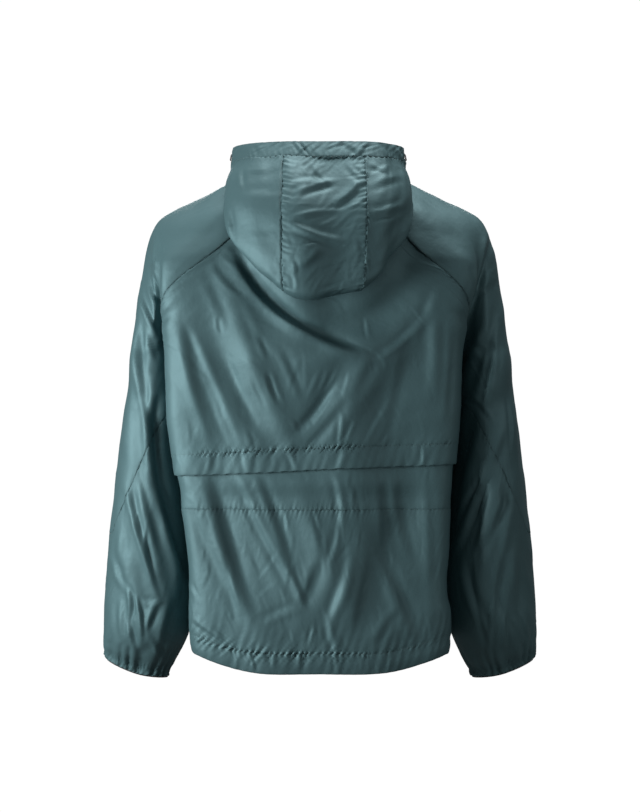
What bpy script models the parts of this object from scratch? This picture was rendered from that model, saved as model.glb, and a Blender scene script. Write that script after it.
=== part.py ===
"""Hooded windbreaker, hollow as if worn, with the hood down: one closed solid for each cut piece.

Metres, +Z up. +X is the wearer's left, -Y the front. The origin lies between the shoulders, at the
height of the shoulder points, on the plane through the shoulder ridge.
"""
import math
from collections import namedtuple

import bmesh
import bpy
import numpy as np
from mathutils import Matrix

MM = 0.001

# Cloth
WALL = 1.2 * MM
CASING_WALL = 2.2 * MM
SEAM_GAP = 0.3 * MM
HALF_GAP = SEAM_GAP / 2 + 0.05 * MM
FOLD_TRIM = 0.3 * MM      # more gap where the raglan seam runs down into the armhole fold
FRONT_AXIS = -0.005       # the plane about which the front repeats the back
FRONT_DEPTH = 1.05
FRONT_NECK_DROP = 0.065   # how much lower the neckline is at the centre front
BLADE_SHARE = 0.6         # where the guide line of the shoulder blade runs, between centre and side
BLADE_FALL = 0.18         # and how much of the way to the side it has come forward
BLADE_RISE = 0.15         # and up
HANDLE = 0.36             # length of a guide curve's handles, against its chord
LEAST_ROOM = 0.25         # least share of a guide span between two sets of columns

# Back: flap, vent band and hem casing
FLAP_Z = -0.4005          # free edge of the flap at the centre back
FLAP_TILT = -0.04         # the flap edge rises towards the wearer's right
FLAP_HEM = 30 * MM
FLAP_LIFT = 2.5 * MM
INSET_SINK = 3.6 * MM
INSET_TOP_SINK = 1.6 * MM
VENT_SEAM_Z = -0.459
CASING_TOP_ROW = 1.0
CASING_PUFF = 1.0 * MM

# Zip
ZIP_HALF = 4 * MM
CHAIN_HALF = 2.8 * MM
TAPE_OUTER = 13 * MM
TAPE_WALL = 0.8 * MM
CHAIN_WALL = 2.2 * MM
ZIP_TOP_ROW = 16.75
SLIDER_ROW = 16.45
SLIDER_SIZE = (8 * MM, 11 * MM, 2.6 * MM)
SLIDER_BEVEL = 0.6 * MM
CHAIN_STAND = 0.2 * MM    # the chain stands this far above the cloth
TAB_LENGTH = 26 * MM
TAB_HALF = 3 * MM
TAB_NECK_HALF = 2.1 * MM
TAB_CORNER = 1.4 * MM
BAR_HALF = 0.6 * MM       # half the thickness of the tab and of the bar at its top
BAR_ROUND = 0.45 * MM
EYE_HALF = 1.2 * MM       # the eye between the bar and the plate
EYE_END = 2.6 * MM
BRIDGE_HALF = 0.9 * MM    # half the width of the slider's bridge
BRIDGE_INNER = 1.1 * MM   # and its radii about the bar
BRIDGE_OUTER = 2.1 * MM
BRIDGE_STEPS = 8
HINGE_RISE = 0.9 * MM     # from the slider's face to the middle of the bar

# Cuffs
CUFF_GATHERS = 26
GATHER_DEPTH = 2.6 * MM
ELASTIC_HEIGHT = 2.6 * MM
ELASTIC_WALL = 1.6 * MM

# Hood
HOOD_BAND = 27 * MM       # height of the casing along the face opening
EYELET_STATION = 3.1
EYELET_FROM_EDGE = (7 * MM, 19 * MM)
EYELET_OUTER = 3.4 * MM
EYELET_HOLE = 1.8 * MM
EYELET_THICK = 0.9 * MM
EYELET_CLEAR = 1.5 * MM   # the cloth bows outwards inside the flat ring
CORD_RADIUS = 1.2 * MM
CORD_STAND = 3.9 * MM     # from the cloth to the middle of the held cord
CORD_BEND = 1.5 * MM
CORD_FOOT = 1.3 * MM
HOOD_SEAM_RIGHT = 1.34    # the right panel seam stands this much further from the middle than the left
HOOD_LEAN = 2.5 * MM      # the hood hangs a little to the wearer's left
HOOD_NECK_LIFT = 0.9 * MM
HOOD_TRIM = 0.55 * MM     # half the gap between the hood's pieces, which meet where it curves most

# How finely the pieces are divided
HEAD_STEPS = 14           # rows above the underarm, shared by every piece at the raglan seams
BACK_HALF = 12
SLEEVE_HALF = 11

UNDERARM = 10
SIDE, OUTER, FRONT_SIDE, CENTRE_FRONT = 3.0, 5.0, 7.0, 10.0

# Body sections from the hem up to the neckline: centre back, crest of the side, side point (above
# the underarm: bottom of the armhole fold), and how far the crest leans towards the wearer's left.
Section = namedtuple("Section", "back_y back_z crest_x crest_y crest_z side_x side_y side_z lean")
BODY = (
    Section(0.114, -0.6965, 0.1885, 0.070, -0.670, 0.1810, -0.010, -0.662, -0.001),   # hem
    Section(0.116, -0.6665, 0.1905, 0.072, -0.648, 0.1830, -0.010, -0.641, 0.000),    # casing seam
    Section(0.117, -0.6210, 0.1920, 0.074, -0.614, 0.1840, -0.010, -0.612, 0.000),
    Section(0.115, -0.5750, 0.1880, 0.075, -0.575, 0.1810, -0.010, -0.575, 0.003),
    Section(0.112, -0.5200, 0.1915, 0.075, -0.520, 0.1820, -0.010, -0.520, 0.0025),
    Section(0.112, -0.4600, 0.1970, 0.075, -0.460, 0.1860, -0.009, -0.460, 0.006),    # vent seam
    Section(0.113, -0.4300, 0.2000, 0.075, -0.430, 0.1880, -0.008, -0.430, 0.007),
    Section(0.114, -0.4000, 0.2050, 0.075, -0.400, 0.1900, -0.008, -0.400, 0.0088),   # flap edge
    Section(0.116, -0.3450, 0.2135, 0.076, -0.345, 0.1960, -0.006, -0.345, 0.0097),
    Section(0.119, -0.2900, 0.2160, 0.078, -0.290, 0.2000, -0.003, -0.290, 0.010),
    Section(0.122, -0.2350, 0.2180, 0.080, -0.235, 0.2020, 0.000, -0.235, 0.0095),    # underarm
    Section(0.124, -0.1900, 0.2220, 0.086, -0.190, 0.2160, 0.036, -0.194, 0.008),     # low armhole
    Section(0.124, -0.1450, 0.2285, 0.090, -0.142, 0.2275, 0.062, -0.143, 0.0075),
    Section(0.120, -0.1000, 0.2310, 0.088, -0.095, 0.2365, 0.070, -0.091, 0.006),     # blade
    Section(0.112, -0.0600, 0.2050, 0.084, -0.058, 0.2220, 0.066, -0.050, 0.003),
    Section(0.100, -0.0220, 0.1550, 0.080, -0.022, 0.1740, 0.060, -0.018, 0.001),     # shoulder
    Section(0.088, 0.0060, 0.1100, 0.060, 0.008, 0.1280, 0.044, 0.012, 0.000),
    Section(0.080, 0.0300, 0.0720, 0.050, 0.034, 0.0860, 0.034, 0.039, 0.000),        # neckline
)
NECK = len(BODY) - 1

# Sleeve head from the underarm up: the back of the sleeve, its outer line, and where the raglan
# seam crosses the section (0 centre back, 1 blade, 2 crest, 3 bottom of the fold).
Head = namedtuple("Head", "back_x back_y back_z outer_x outer_y outer_z raglan")
HEAD = (
    Head(0.252, 0.062, -0.235, 0.2870, -0.010, -0.235, 3.00),
    Head(0.247, 0.060, -0.186, 0.2810, -0.007, -0.187, 2.25),
    Head(0.247, 0.056, -0.138, 0.2735, -0.004, -0.140, 1.72),
    Head(0.249, 0.048, -0.080, 0.2600, -0.001, -0.076, 1.25),
    Head(0.235, 0.038, -0.037, 0.2400, 0.000, -0.031, 1.00),
    Head(0.187, 0.035, -0.011, 0.1910, 0.000, -0.0035, 0.97),
    Head(0.141, 0.024, 0.018, 0.1430, 0.000, 0.019, 1.00),
    Head(0.096, 0.017, 0.043, 0.1000, 0.000, 0.045, 1.03),
)

# Sleeve rings from the underarm to the cuff: inner line, outer line, back and front reach.
Ring = namedtuple("Ring", "inner_x inner_y inner_z outer_x outer_y outer_z mid_x back_y front_y")
ARM = (
    Ring(0.2020, 0.000, -0.2350, 0.2870, -0.010, -0.2350, 0.252, 0.062, -0.0753),
    Ring(0.2085, -0.004, -0.2900, 0.2935, -0.014, -0.2900, 0.253, 0.066, -0.086),
    Ring(0.2100, -0.010, -0.3500, 0.3005, -0.018, -0.3500, 0.256, 0.066, -0.096),
    Ring(0.2035, -0.014, -0.4200, 0.3085, -0.022, -0.4200, 0.256, 0.064, -0.104),
    Ring(0.1950, -0.018, -0.5000, 0.3180, -0.026, -0.5000, 0.256, 0.060, -0.110),
    Ring(0.1905, -0.022, -0.5850, 0.3245, -0.030, -0.5750, 0.257, 0.052, -0.110),
    Ring(0.1975, -0.026, -0.6470, 0.3275, -0.032, -0.6320, 0.262, 0.042, -0.104),
    Ring(0.2135, -0.029, -0.6860, 0.3285, -0.034, -0.6660, 0.267, 0.022, -0.088),
    Ring(0.2245, -0.031, -0.7070, 0.3275, -0.035, -0.6810, 0.273, 0.003, -0.070),
    Ring(0.2275, -0.032, -0.7175, 0.3265, -0.035, -0.6900, 0.274, -0.001, -0.066),
)
GATHER_RING = 6.85
CUFF_RING = float(len(ARM) - 1)
CUFF_SAG = 6 * MM
ELBOW_TRIM = 0.45 * MM        # more than elsewhere, because the seam slants
ELBOW_INNER_Z, ELBOW_FALL, ELBOW_BEND = -0.300, -0.090, -0.130

# Hood stations from the centre front round to the centre back: where it is sewn to the neckline
# (in the body sections' own count), the layer against the back, the lowest fold, the layer that
# shows, and the edge of the face opening.
Station = namedtuple(
    "Station", "neck in_x in_y in_z fold_x fold_y fold_z out_x out_y out_z rim_x rim_y rim_z"
)
HOOD = (
    Station(9.93, 0.006, -0.098, -0.022, 0.006, -0.106, -0.010, 0.006, -0.111, 0.006,
            0.006, -0.112, 0.030),
    Station(7.90, 0.082, -0.080, 0.018, 0.090, -0.085, 0.026, 0.094, -0.085, 0.036,
            0.090, -0.086, 0.048),
    Station(5.60, 0.110, -0.014, 0.050, 0.122, -0.010, 0.045, 0.128, -0.008, 0.052,
            0.120, -0.018, 0.065),
    Station(4.20, 0.115, 0.048, 0.032, 0.127, 0.068, 0.012, 0.128, 0.052, 0.036,
            0.1235, 0.028, 0.0690),
    Station(2.50, 0.107, 0.100, -0.006, 0.126, 0.130, -0.060, 0.1345, 0.114, -0.012,
            0.1235, 0.064, 0.0715),
    Station(1.40, 0.080, 0.124, -0.050, 0.090, 0.152, -0.108, 0.108, 0.160, -0.040,
            0.098, 0.096, 0.0725),
    Station(0.60, 0.038, 0.134, -0.070, 0.045, 0.164, -0.149, 0.051, 0.184, -0.055,
            0.0495, 0.114, 0.0730),
    Station(0.00, 0.000, 0.136, -0.074, 0.000, 0.168, -0.157, 0.000, 0.188, -0.060,
            0.000, 0.118, 0.0726),
)
HOOD_SEAM_STATION = 6

# Main folds of the back: start, bend and end across the back (x, z), reach to each side and depth.
Fold = namedtuple("Fold", "x0 z0 x1 z1 x2 z2 reach depth")
BACK_FOLDS = (
    Fold(0.122, -0.085, 0.098, -0.170, 0.000, -0.200, 0.022, -0.011),   # sag under the hood, left
    Fold(-0.135, -0.085, -0.120, -0.190, 0.000, -0.204, 0.022, -0.011),  # and right
    Fold(0.090, -0.240, 0.000, -0.238, -0.090, -0.236, 0.024, 0.006),
    Fold(0.165, -0.200, 0.125, -0.280, 0.070, -0.360, 0.020, -0.008),
    Fold(0.120, -0.185, 0.090, -0.270, 0.045, -0.360, 0.018, 0.006),
    Fold(-0.040, -0.235, -0.015, -0.290, 0.022, -0.365, 0.018, -0.006),
    Fold(-0.170, -0.190, -0.110, -0.290, -0.010, -0.370, 0.022, -0.008),
    Fold(-0.120, -0.210, -0.070, -0.290, 0.000, -0.365, 0.017, 0.006),
    Fold(0.150, -0.430, 0.100, -0.520, 0.050, -0.640, 0.022, -0.006),
    Fold(-0.140, -0.430, -0.090, -0.530, -0.060, -0.640, 0.024, -0.006),
    Fold(0.030, -0.430, 0.010, -0.510, -0.050, -0.600, 0.020, 0.006),
)
# Main folds of a sleeve, seen square from the back: the same columns.
SLEEVE_FOLDS = (
    Fold(0.260, -0.095, 0.264, -0.150, 0.254, -0.215, 0.015, -0.0050),
    Fold(0.288, -0.150, 0.272, -0.205, 0.248, -0.255, 0.018, -0.0060),
    Fold(0.292, -0.260, 0.268, -0.310, 0.240, -0.330, 0.019, -0.0060),
    Fold(0.240, -0.330, 0.238, -0.430, 0.230, -0.560, 0.020, -0.0090),
    Fold(0.262, -0.300, 0.268, -0.400, 0.275, -0.470, 0.017, -0.0060),
    Fold(0.278, -0.500, 0.262, -0.570, 0.250, -0.640, 0.017, -0.0070),
    Fold(0.300, -0.560, 0.292, -0.600, 0.284, -0.650, 0.016, -0.0060),
)

CLOTH = ((0.045, 0.110, 0.105), 0.38)
TRIM_BLACK = ((0.012, 0.013, 0.013), 0.65)
NICKEL = ((0.62, 0.62, 0.60), 0.25)


def material(name, colour, roughness, metallic=0.0):
    made = bpy.data.materials.new(name)
    made.use_nodes = True
    shader = made.node_tree.nodes["Principled BSDF"]
    shader.inputs["Base Color"].default_value = (*colour, 1.0)
    shader.inputs["Roughness"].default_value = roughness
    shader.inputs["Metallic"].default_value = metallic
    return made


# ---------------------------------------------------------------- curves


def through(rows, s):
    """A smooth curve through the rows of a table, at row number s."""
    last = len(rows) - 1
    k = min(max(int(math.floor(s)), 0), last - 1)
    f = s - k
    p1, p2 = rows[k], rows[k + 1]
    p0 = rows[k - 1] if k > 0 else 2 * p1 - p2
    p3 = rows[k + 2] if k + 2 <= last else 2 * p2 - p1
    return p1 + 0.5 * f * (p2 - p0 + f * (2 * p0 - 5 * p1 + 4 * p2 - p3 + f * (3 * (p1 - p2) + p3 - p0)))


def unit(v):
    return v / max(float(np.linalg.norm(v)), 1e-12)


def tangent(before, here, after):
    """Direction of a smooth curve at a mark, where the nearer neighbour counts more."""
    back, ahead = here - before, after - here
    d0, d1 = np.linalg.norm(back), np.linalg.norm(ahead)
    return unit(back / d0 * d1 + ahead / d1 * d0)


def bezier(p0, t0, t1, p3, f):
    reach = HANDLE * np.linalg.norm(p3 - p0)
    p1, p2 = p0 + t0 * reach, p3 - t1 * reach
    g = 1 - f
    return g * g * g * p0 + 3 * g * g * f * p1 + 3 * g * f * f * p2 + f * f * f * p3


def mix(a, b, share):
    return a + (b - a) * share


def clamp(value, low=0.0, high=1.0):
    return min(max(value, low), high)


def ease(value):
    value = clamp(value)
    return value * value * (3 - 2 * value)


BODY_ROWS = np.array(BODY)
HEAD_ROWS = np.array(HEAD)
ARM_ROWS = np.array(ARM)
HOOD_ROWS = np.array(HOOD)
FORWARD = np.array((0.0, -1.0, 0.0))


def spread(marks, counts, low, high, least):
    """Column places from low to high that pass through the marks, with the least room between them."""
    ends = [low]
    for k, mark in enumerate(marks):
        ends.append(clamp(mark, low + least * (k + 1), high - least * (len(marks) - k)))
    ends.append(high)
    places = [low]
    for start, end, count in zip(ends, ends[1:], counts):
        places += [mix(start, end, (n + 1) / count) for n in range(count)]
    return places


# ---------------------------------------------------------------- body and sleeve form


def fold_height(folds, x, z):
    """Sum of the folds at a point seen square from the back."""
    total = 0.0
    for fold in folds:
        best, place = 1e9, 0.0
        for n in range(13):
            f = n / 12
            g = 1 - f
            fx = g * g * fold.x0 + 2 * g * f * fold.x1 + f * f * fold.x2
            fz = g * g * fold.z0 + 2 * g * f * fold.z1 + f * f * fold.z2
            distance = (x - fx) ** 2 + (z - fz) ** 2
            if distance < best:
                best, place = distance, f
        fade = 0.35 + 0.65 * math.sin(math.pi * place)
        total += fold.depth * fade * math.exp(-best / fold.reach ** 2)
    return total


def front_of(mark, s, drop_share):
    """The front's mark for a mark of the back."""
    drop = FRONT_NECK_DROP * clamp((s - UNDERARM) / (NECK - UNDERARM)) ** 2 * drop_share
    return np.array((mark[0], FRONT_AXIS - (mark[1] - FRONT_AXIS) * FRONT_DEPTH, mark[2] - drop))


def section_marks(side, s):
    """Guide points of a body section from the centre back round to the centre front."""
    row = Section(*through(BODY_ROWS, s))
    below = s <= UNDERARM
    side_line = through(BODY_ROWS[:UNDERARM + 1] if below else BODY_ROWS[UNDERARM:], s if below else s - UNDERARM)
    row = row._replace(**dict(zip(Section._fields[5:8], side_line[5:8])))
    above = clamp(s - UNDERARM)
    centre = np.array((0.0, row.back_y, row.back_z))
    crest = np.array((side * row.crest_x + row.lean, row.crest_y, row.crest_z))
    fold = np.array((side * row.side_x + row.lean * above, row.side_y, row.side_z))
    blade = np.array((
        BLADE_SHARE * crest[0],
        row.back_y - BLADE_FALL * (row.back_y - row.crest_y),
        mix(row.back_z, row.crest_z, BLADE_RISE),
    ))
    head = Head(*through(HEAD_ROWS, max(s - UNDERARM, 0.0)))
    back = np.array((side * head.back_x, head.back_y, head.back_z))
    outer = np.array((side * head.outer_x, head.outer_y, head.outer_z))
    return [
        centre, blade, crest, fold, back, outer,
        front_of(back, s, 0.06), mix(fold, front_of(fold, s, 0.15), above),
        front_of(crest, s, 0.3), front_of(blade, s, 0.7), front_of(centre, s, 1.0),
    ]


def section_directions(side, s, marks):
    """Directions into and out of each guide point."""
    across = np.array((float(side), 0.0, 0.0))
    into = [across]
    into += [tangent(marks[k - 1], marks[k], marks[k + 1]) for k in range(1, 10)]
    into.append(-across)
    folded = ease((UNDERARM + 4 - s) / 2)
    down_side = unit(np.array((0.12 * side, -1.0, 0.0)))
    into[2] = unit(mix(into[2], down_side, folded))
    into[8] = unit(mix(into[8], down_side * (-1, 1, 1), folded))
    into[5] = FORWARD
    out = list(into)
    closed = clamp(1 - (s - UNDERARM))
    leave = unit(np.array((0.78 * side, 0.62, 0.0)))
    into[3] = unit(mix(into[3], FORWARD, closed))
    out[3] = unit(mix(out[3], leave, closed))
    into[7] = unit(mix(into[7], leave * (-1, 1, 1), closed))
    out[7] = unit(mix(out[7], FORWARD, closed))
    return into, out


def body(side, t, s):
    """Point of the body section s at place t, from 0 at the centre back to 10 at the centre front."""
    marks = section_marks(side, s)
    into, out = section_directions(side, s, marks)
    k = min(int(t), 9)
    return bezier(marks[k], out[k], into[k + 1], marks[k + 1], t - k)


def outwards(point):
    return unit(np.array((point[0] / 0.21 ** 2, (point[1] - FRONT_AXIS) / 0.125 ** 2, 0.0)))


def back_facing(t):
    return ease((2.4 - t) / 0.9)


def torso(side, t, s):
    """The trunk's cloth with its main folds and the puffed casing of the hem."""
    point = body(side, t, s)
    height = fold_height(BACK_FOLDS, point[0], point[2]) * back_facing(t) if t < 2.5 else 0.0
    if s < CASING_TOP_ROW:
        height += CASING_PUFF * math.sin(math.pi * s / CASING_TOP_ROW)
    return point + outwards(point) * height


def row_at(z):
    """Body section whose centre back lies at height z, below the underarm."""
    heights = [row.back_z for row in BODY[:UNDERARM + 1]]
    return float(np.interp(z, heights, range(UNDERARM + 1)))


def arm_ring(side, t, r):
    """Point of the sleeve ring r, with t from 3 at the inner line round the back to 7."""
    row = Ring(*through(ARM_ROWS, r))
    share = (row.mid_x - row.inner_x) / (row.outer_x - row.inner_x)
    mid_z = mix(row.inner_z, row.outer_z, share) - CUFF_SAG * ease((r - 5) / 4)
    inner = np.array((side * row.inner_x, row.inner_y, row.inner_z))
    outer = np.array((side * row.outer_x, row.outer_y, row.outer_z))
    back = np.array((side * row.mid_x, row.back_y, mid_z))
    front = np.array((side * row.mid_x, row.front_y, mid_z))
    marks = [inner, back, outer, front, inner]
    ahead = unit(outer - inner)
    opened = clamp(1 - r)
    leave = unit(mix(np.array((0.0, 1.0, 0.0)), np.array((0.78 * side, 0.62, 0.0)), opened))
    back_way = unit(mix(ahead, tangent(inner, back, outer), opened))
    front_way = unit(mix(-ahead, tangent(outer, front, inner), opened))
    out = [leave, back_way, FORWARD, front_way]
    into = [None, back_way, FORWARD, front_way, leave * (-1, 1, 1)]
    k = min(int(t - SIDE), 3)
    return bezier(marks[k], out[k], into[k + 1], marks[k + 1], t - SIDE - k)


def sleeve(side, t, q):
    """The sleeve's cloth: q below 0 runs up over the sleeve head, q above 0 down the rings."""
    point = body(side, t, UNDERARM - q) if q < 0 else arm_ring(side, t, q)
    if t < 5.6:
        height = fold_height(SLEEVE_FOLDS, abs(point[0]), point[2])
        facing = ease((5.6 - t) / 0.8) * ease((t - 3.1) / 0.5 if q > -1.5 else 1.0)
        middle = np.array((side * 0.256, -0.015, point[2]))
        point = point + unit((point - middle) * (1, 1, 0)) * height * facing
    ends = max(clamp(1 - (t - SIDE)), clamp(1 - (FRONT_SIDE - t)))
    return point + np.array((side * 0.5 * MM, 0.0, 0.0)) * ends * clamp(1 - abs(q))


def rows_above(count=HEAD_STEPS):
    """Sections from the underarm to the neckline that every piece at the raglan seams shares."""
    return [mix(UNDERARM, NECK, n / count) for n in range(count + 1)]


def raglan_place(s):
    return float(through(HEAD_ROWS, max(s - UNDERARM, 0.0))[6]) if s > UNDERARM else SIDE


def elbow_ring(t):
    """Ring at which the slanting elbow seam crosses place t."""
    across = (1 - math.cos(math.pi * (t - SIDE) / 2)) / 2
    z = ELBOW_INNER_Z + ELBOW_FALL * across + ELBOW_BEND * across ** 2
    heights = [-row.inner_z for row in ARM[:5]]
    return float(np.interp(-z, heights, range(5)))


# ---------------------------------------------------------------- solids from surfaces


def raglan_trim(sections):
    """Half seam gap along the raglan seam, wider where it runs down into the armhole fold."""
    near = [clamp(1 - abs(s - UNDERARM - 0.5) / 1.5) for s in sections]
    return np.array([[HALF_GAP + FOLD_TRIM * n] for n in near])


def trim(outer, sides, half=HALF_GAP):
    """Draw the named edges of a panel back by half a seam gap."""
    moved = outer.copy()
    inward = {
        "first": ((0, slice(None)), (1, slice(None))),
        "last": ((-1, slice(None)), (-2, slice(None))),
        "bottom": ((slice(None), 0), (slice(None), 1)),
        "top": ((slice(None), -1), (slice(None), -2)),
    }
    for name in sides:
        edge, inside = inward[name]
        ways = outer[inside] - outer[edge]
        lengths = np.maximum(np.linalg.norm(ways, axis=-1, keepdims=True), 1e-9)
        moved[edge] = moved[edge] + ways / lengths * half
    return moved


def cloth(name, outer, normals, finish, wall=WALL, closed_from=None):
    """One closed solid from a grid of outer points; columns meet in a ring from row closed_from on."""
    columns, rows = outer.shape[0] - 1, outer.shape[1] - 1
    if closed_from is not None:
        for j in range(closed_from, rows + 1):
            outer[0, j] = outer[-1, j] = (outer[0, j] + outer[-1, j]) / 2
            normals[0, j] = normals[-1, j] = unit(normals[0, j] + normals[-1, j])
    thickness = wall if np.ndim(wall) else np.full((columns + 1, rows + 1), wall)
    bm = bmesh.new()
    bmesh.ops.create_grid(bm, x_segments=columns, y_segments=rows, size=0.5)
    column = bm.verts.layers.int.new("column")
    row = bm.verts.layers.int.new("row")
    for vert in bm.verts:
        vert[column] = round((vert.co.x + 0.5) * columns)
        vert[row] = round((vert.co.y + 0.5) * rows)
    for vert in bm.verts:
        vert.co = outer[vert[column], vert[row]]
    if closed_from is not None:
        joined = [v for v in bm.verts if v[row] >= closed_from and v[column] in (0, columns)]
        bmesh.ops.remove_doubles(bm, verts=joined, dist=1e-7)
    grown = bmesh.ops.extrude_face_region(bm, geom=bm.faces[:], use_keep_orig=True)
    for vert in grown["geom"]:
        if isinstance(vert, bmesh.types.BMVert):
            i, j = vert[column], vert[row]
            vert.co = outer[i, j] - normals[i, j] * thickness[i, j]
    return add_object(name, bm, finish)


def add_object(name, bm, finish):
    bmesh.ops.recalc_face_normals(bm, faces=bm.faces[:])
    if bm.calc_volume(signed=True) < 0:
        bmesh.ops.reverse_faces(bm, faces=bm.faces[:])
    mesh = bpy.data.meshes.new(name)
    bm.to_mesh(mesh)
    bm.free()
    mesh.shade_smooth()
    mesh.set_sharp_from_angle(angle=math.radians(50))
    made = bpy.data.objects.new(name, mesh)
    made.data.materials.append(finish)
    bpy.context.collection.objects.link(made)
    return made


def panel(columns, rows, place, point, way):
    """Sample a panel; derivatives are taken from inside it, so its edges keep its own slope."""
    step = 1e-4
    outer = np.zeros((columns + 1, rows + 1, 3))
    normals = np.zeros_like(outer)
    for i in range(columns + 1):
        for j in range(rows + 1):
            side, t, s = place(i, j)
            inside_t = place((columns // 2) if i != columns // 2 else columns // 2 + 1, j)[1]
            inside_s = place(i, (rows // 2) if j != rows // 2 else rows // 2 + 1)[2]
            dt = step if inside_t > t or (inside_t == t and t < 1) else -step
            ds = step if inside_s > s else -step
            here = point(side, t, s)
            along_t = (point(side, t + dt, s) - here) / dt
            along_s = (point(side, t, s + ds) - here) / ds
            outer[i, j] = here
            normals[i, j] = unit(np.cross(along_t, along_s)) * side * way
    return outer, normals


# ---------------------------------------------------------------- the back

def back_place(i, s):
    """Side and place of column i of a back panel, counted from the wearer's right side seam."""
    side = -1 if i < BACK_HALF else 1
    n = abs(i - BACK_HALF)
    places = spread((2.0,), (9, 3), 0.0, raglan_place(s), LEAST_ROOM)
    return side, places[n]


def flap_row(i):
    """Body section at which the flap's free edge crosses column i."""
    side, t = back_place(i, row_at(FLAP_Z))
    x = body(side, t, row_at(FLAP_Z))[0]
    return row_at(FLAP_Z + FLAP_TILT * x)


def make_upper_back(finish):
    above = rows_above()
    below = 4
    rows = below + HEAD_STEPS

    def place(i, j):
        s = above[j - below] if j >= below else mix(flap_row(i), UNDERARM, j / below)
        side, t = back_place(i, s)
        return side, t, s

    def surface(side, t, s):
        point = torso(side, t, s)
        lift = FLAP_LIFT * ease((FLAP_Z + FLAP_HEM - point[2]) / FLAP_HEM)
        return point + outwards(point) * lift

    outer, normals = panel(2 * BACK_HALF, rows, place, surface, -1)
    sections = [UNDERARM - 2] * below + above
    cloth("back_upper", trim(outer, ("first", "last"), raglan_trim(sections)), normals, finish)


def make_inset(finish):
    rows = 5
    top = FLAP_Z + FLAP_HEM - 1 * MM

    def place(i, j):
        s = mix(row_at(VENT_SEAM_Z), row_at(top) - row_at(FLAP_Z) + flap_row(i), j / rows)
        side, t = back_place(i, s)
        return side, t, s

    def surface(side, t, s):
        point = torso(side, t, s)
        z = point[2] - FLAP_TILT * point[0]
        rise = ease((z - VENT_SEAM_Z) / (FLAP_Z - VENT_SEAM_Z))
        sink = INSET_SINK * rise + (INSET_TOP_SINK - INSET_SINK) * ease((z - FLAP_Z) / (top - FLAP_Z))
        return point - outwards(point) * sink

    outer, normals = panel(2 * BACK_HALF, rows, place, surface, -1)
    cloth("back_inset", trim(outer, ("first", "last", "bottom")), normals, finish)


def make_lower_back(finish):
    rows = 9
    sections = [0.0, 0.5, CASING_TOP_ROW] + [mix(CASING_TOP_ROW, row_at(VENT_SEAM_Z), n / 7) for n in range(1, 8)]

    def place(i, j):
        side, t = back_place(i, sections[j])
        return side, t, sections[j]

    outer, normals = panel(2 * BACK_HALF, rows, place, torso, -1)
    cloth("back_lower", trim(outer, ("first", "last", "top")), normals, finish)


# ---------------------------------------------------------------- the fronts and the zip


def zip_edge(side, s, half):
    """Place at which the centre front section lies half a width from the middle."""
    width = abs(section_marks(side, s)[9][0])
    return CENTRE_FRONT - half / (3 * HANDLE * width)


FRONT_SECTIONS = [0.0, 0.5] + [float(n) for n in range(1, UNDERARM)] + rows_above()


def front_panel(side, name, finish):
    columns, rows = 10, len(FRONT_SECTIONS) - 1

    def place(i, j):
        s = FRONT_SECTIONS[j]
        seam = CENTRE_FRONT - raglan_place(s)
        edge = CENTRE_FRONT - zip_edge(side, s, ZIP_HALF)
        places = spread((2.0,), (7, 3), edge, CENTRE_FRONT - seam, LEAST_ROOM)
        return side, CENTRE_FRONT - places[i], s

    outer, normals = panel(columns, rows, place, torso, -1)
    cloth(name, trim(outer, ("last",), raglan_trim(FRONT_SECTIONS)), normals, finish)


ZIP_SECTIONS = [0.05] + FRONT_SECTIONS[1:-1] + [ZIP_TOP_ROW]


def zip_strip(side, name, near, far, depth, wall, finish):
    """A strip beside the centre front, its outer face sunk below the cloth's by a depth."""
    rows, columns = len(ZIP_SECTIONS) - 1, 1

    def place(i, j):
        s = ZIP_SECTIONS[j]
        return side, zip_edge(side, s, mix(near, far, i / columns)), s

    outer, normals = panel(columns, rows, place, torso, -1)
    cloth(name, outer - normals * depth, normals, finish, wall)


def zip_chain(finish):
    rows = len(ZIP_SECTIONS) - 1

    def place(i, j):
        s = ZIP_SECTIONS[j]
        return (-1 if i == 0 else 1), zip_edge(1, s, CHAIN_HALF), s

    outer, normals = panel(1, rows, place, torso, -1)
    normals[:, :, 0] = 0.0
    normals /= np.linalg.norm(normals, axis=2, keepdims=True)
    cloth("zip_chain", outer + normals * CHAIN_STAND, normals, finish, CHAIN_WALL)


def zip_frame(s):
    """Point, downward direction and outward direction of the zip at a body section."""
    here, below = body(1, CENTRE_FRONT, s), body(1, CENTRE_FRONT, s - 0.05)
    down = unit(below - here)
    out = unit(np.cross(down, (1.0, 0.0, 0.0)))
    return here, down, out


def plate(across, along, low, high, eye=None):
    """A flat plate from lines across and along it, with one cell left open as an eye."""
    columns, rows = len(across) - 1, len(along) - 1
    bm = bmesh.new()
    bmesh.ops.create_grid(bm, x_segments=columns, y_segments=rows, size=0.5)
    if eye:
        inside = [f for f in bm.faces if abs(f.calc_center_median().x) < eye[0]
                  and abs(f.calc_center_median().y - eye[1]) < eye[0]]
        bmesh.ops.delete(bm, geom=inside, context="FACES")
    for vert in bm.verts:
        i, j = round((vert.co.x + 0.5) * columns), round((vert.co.y + 0.5) * rows)
        vert.co = (across[i], along[j], low)
    grown = bmesh.ops.extrude_face_region(bm, geom=bm.faces[:], use_keep_orig=True)
    for vert in grown["geom"]:
        if isinstance(vert, bmesh.types.BMVert):
            vert.co.z = high
    bmesh.ops.recalc_face_normals(bm, faces=bm.faces[:])
    return bm


def bevelled(bm, edges, offset, segments):
    bmesh.ops.bevel(bm, geom=edges, offset=offset, segments=segments, profile=0.5, affect="EDGES", material=-1)


def lies_on(edge, axis, place):
    """Whether both ends of an edge lie at a place along one axis."""
    return all(abs(vert.co[axis] - place) < 1e-7 for vert in edge.verts)


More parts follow.
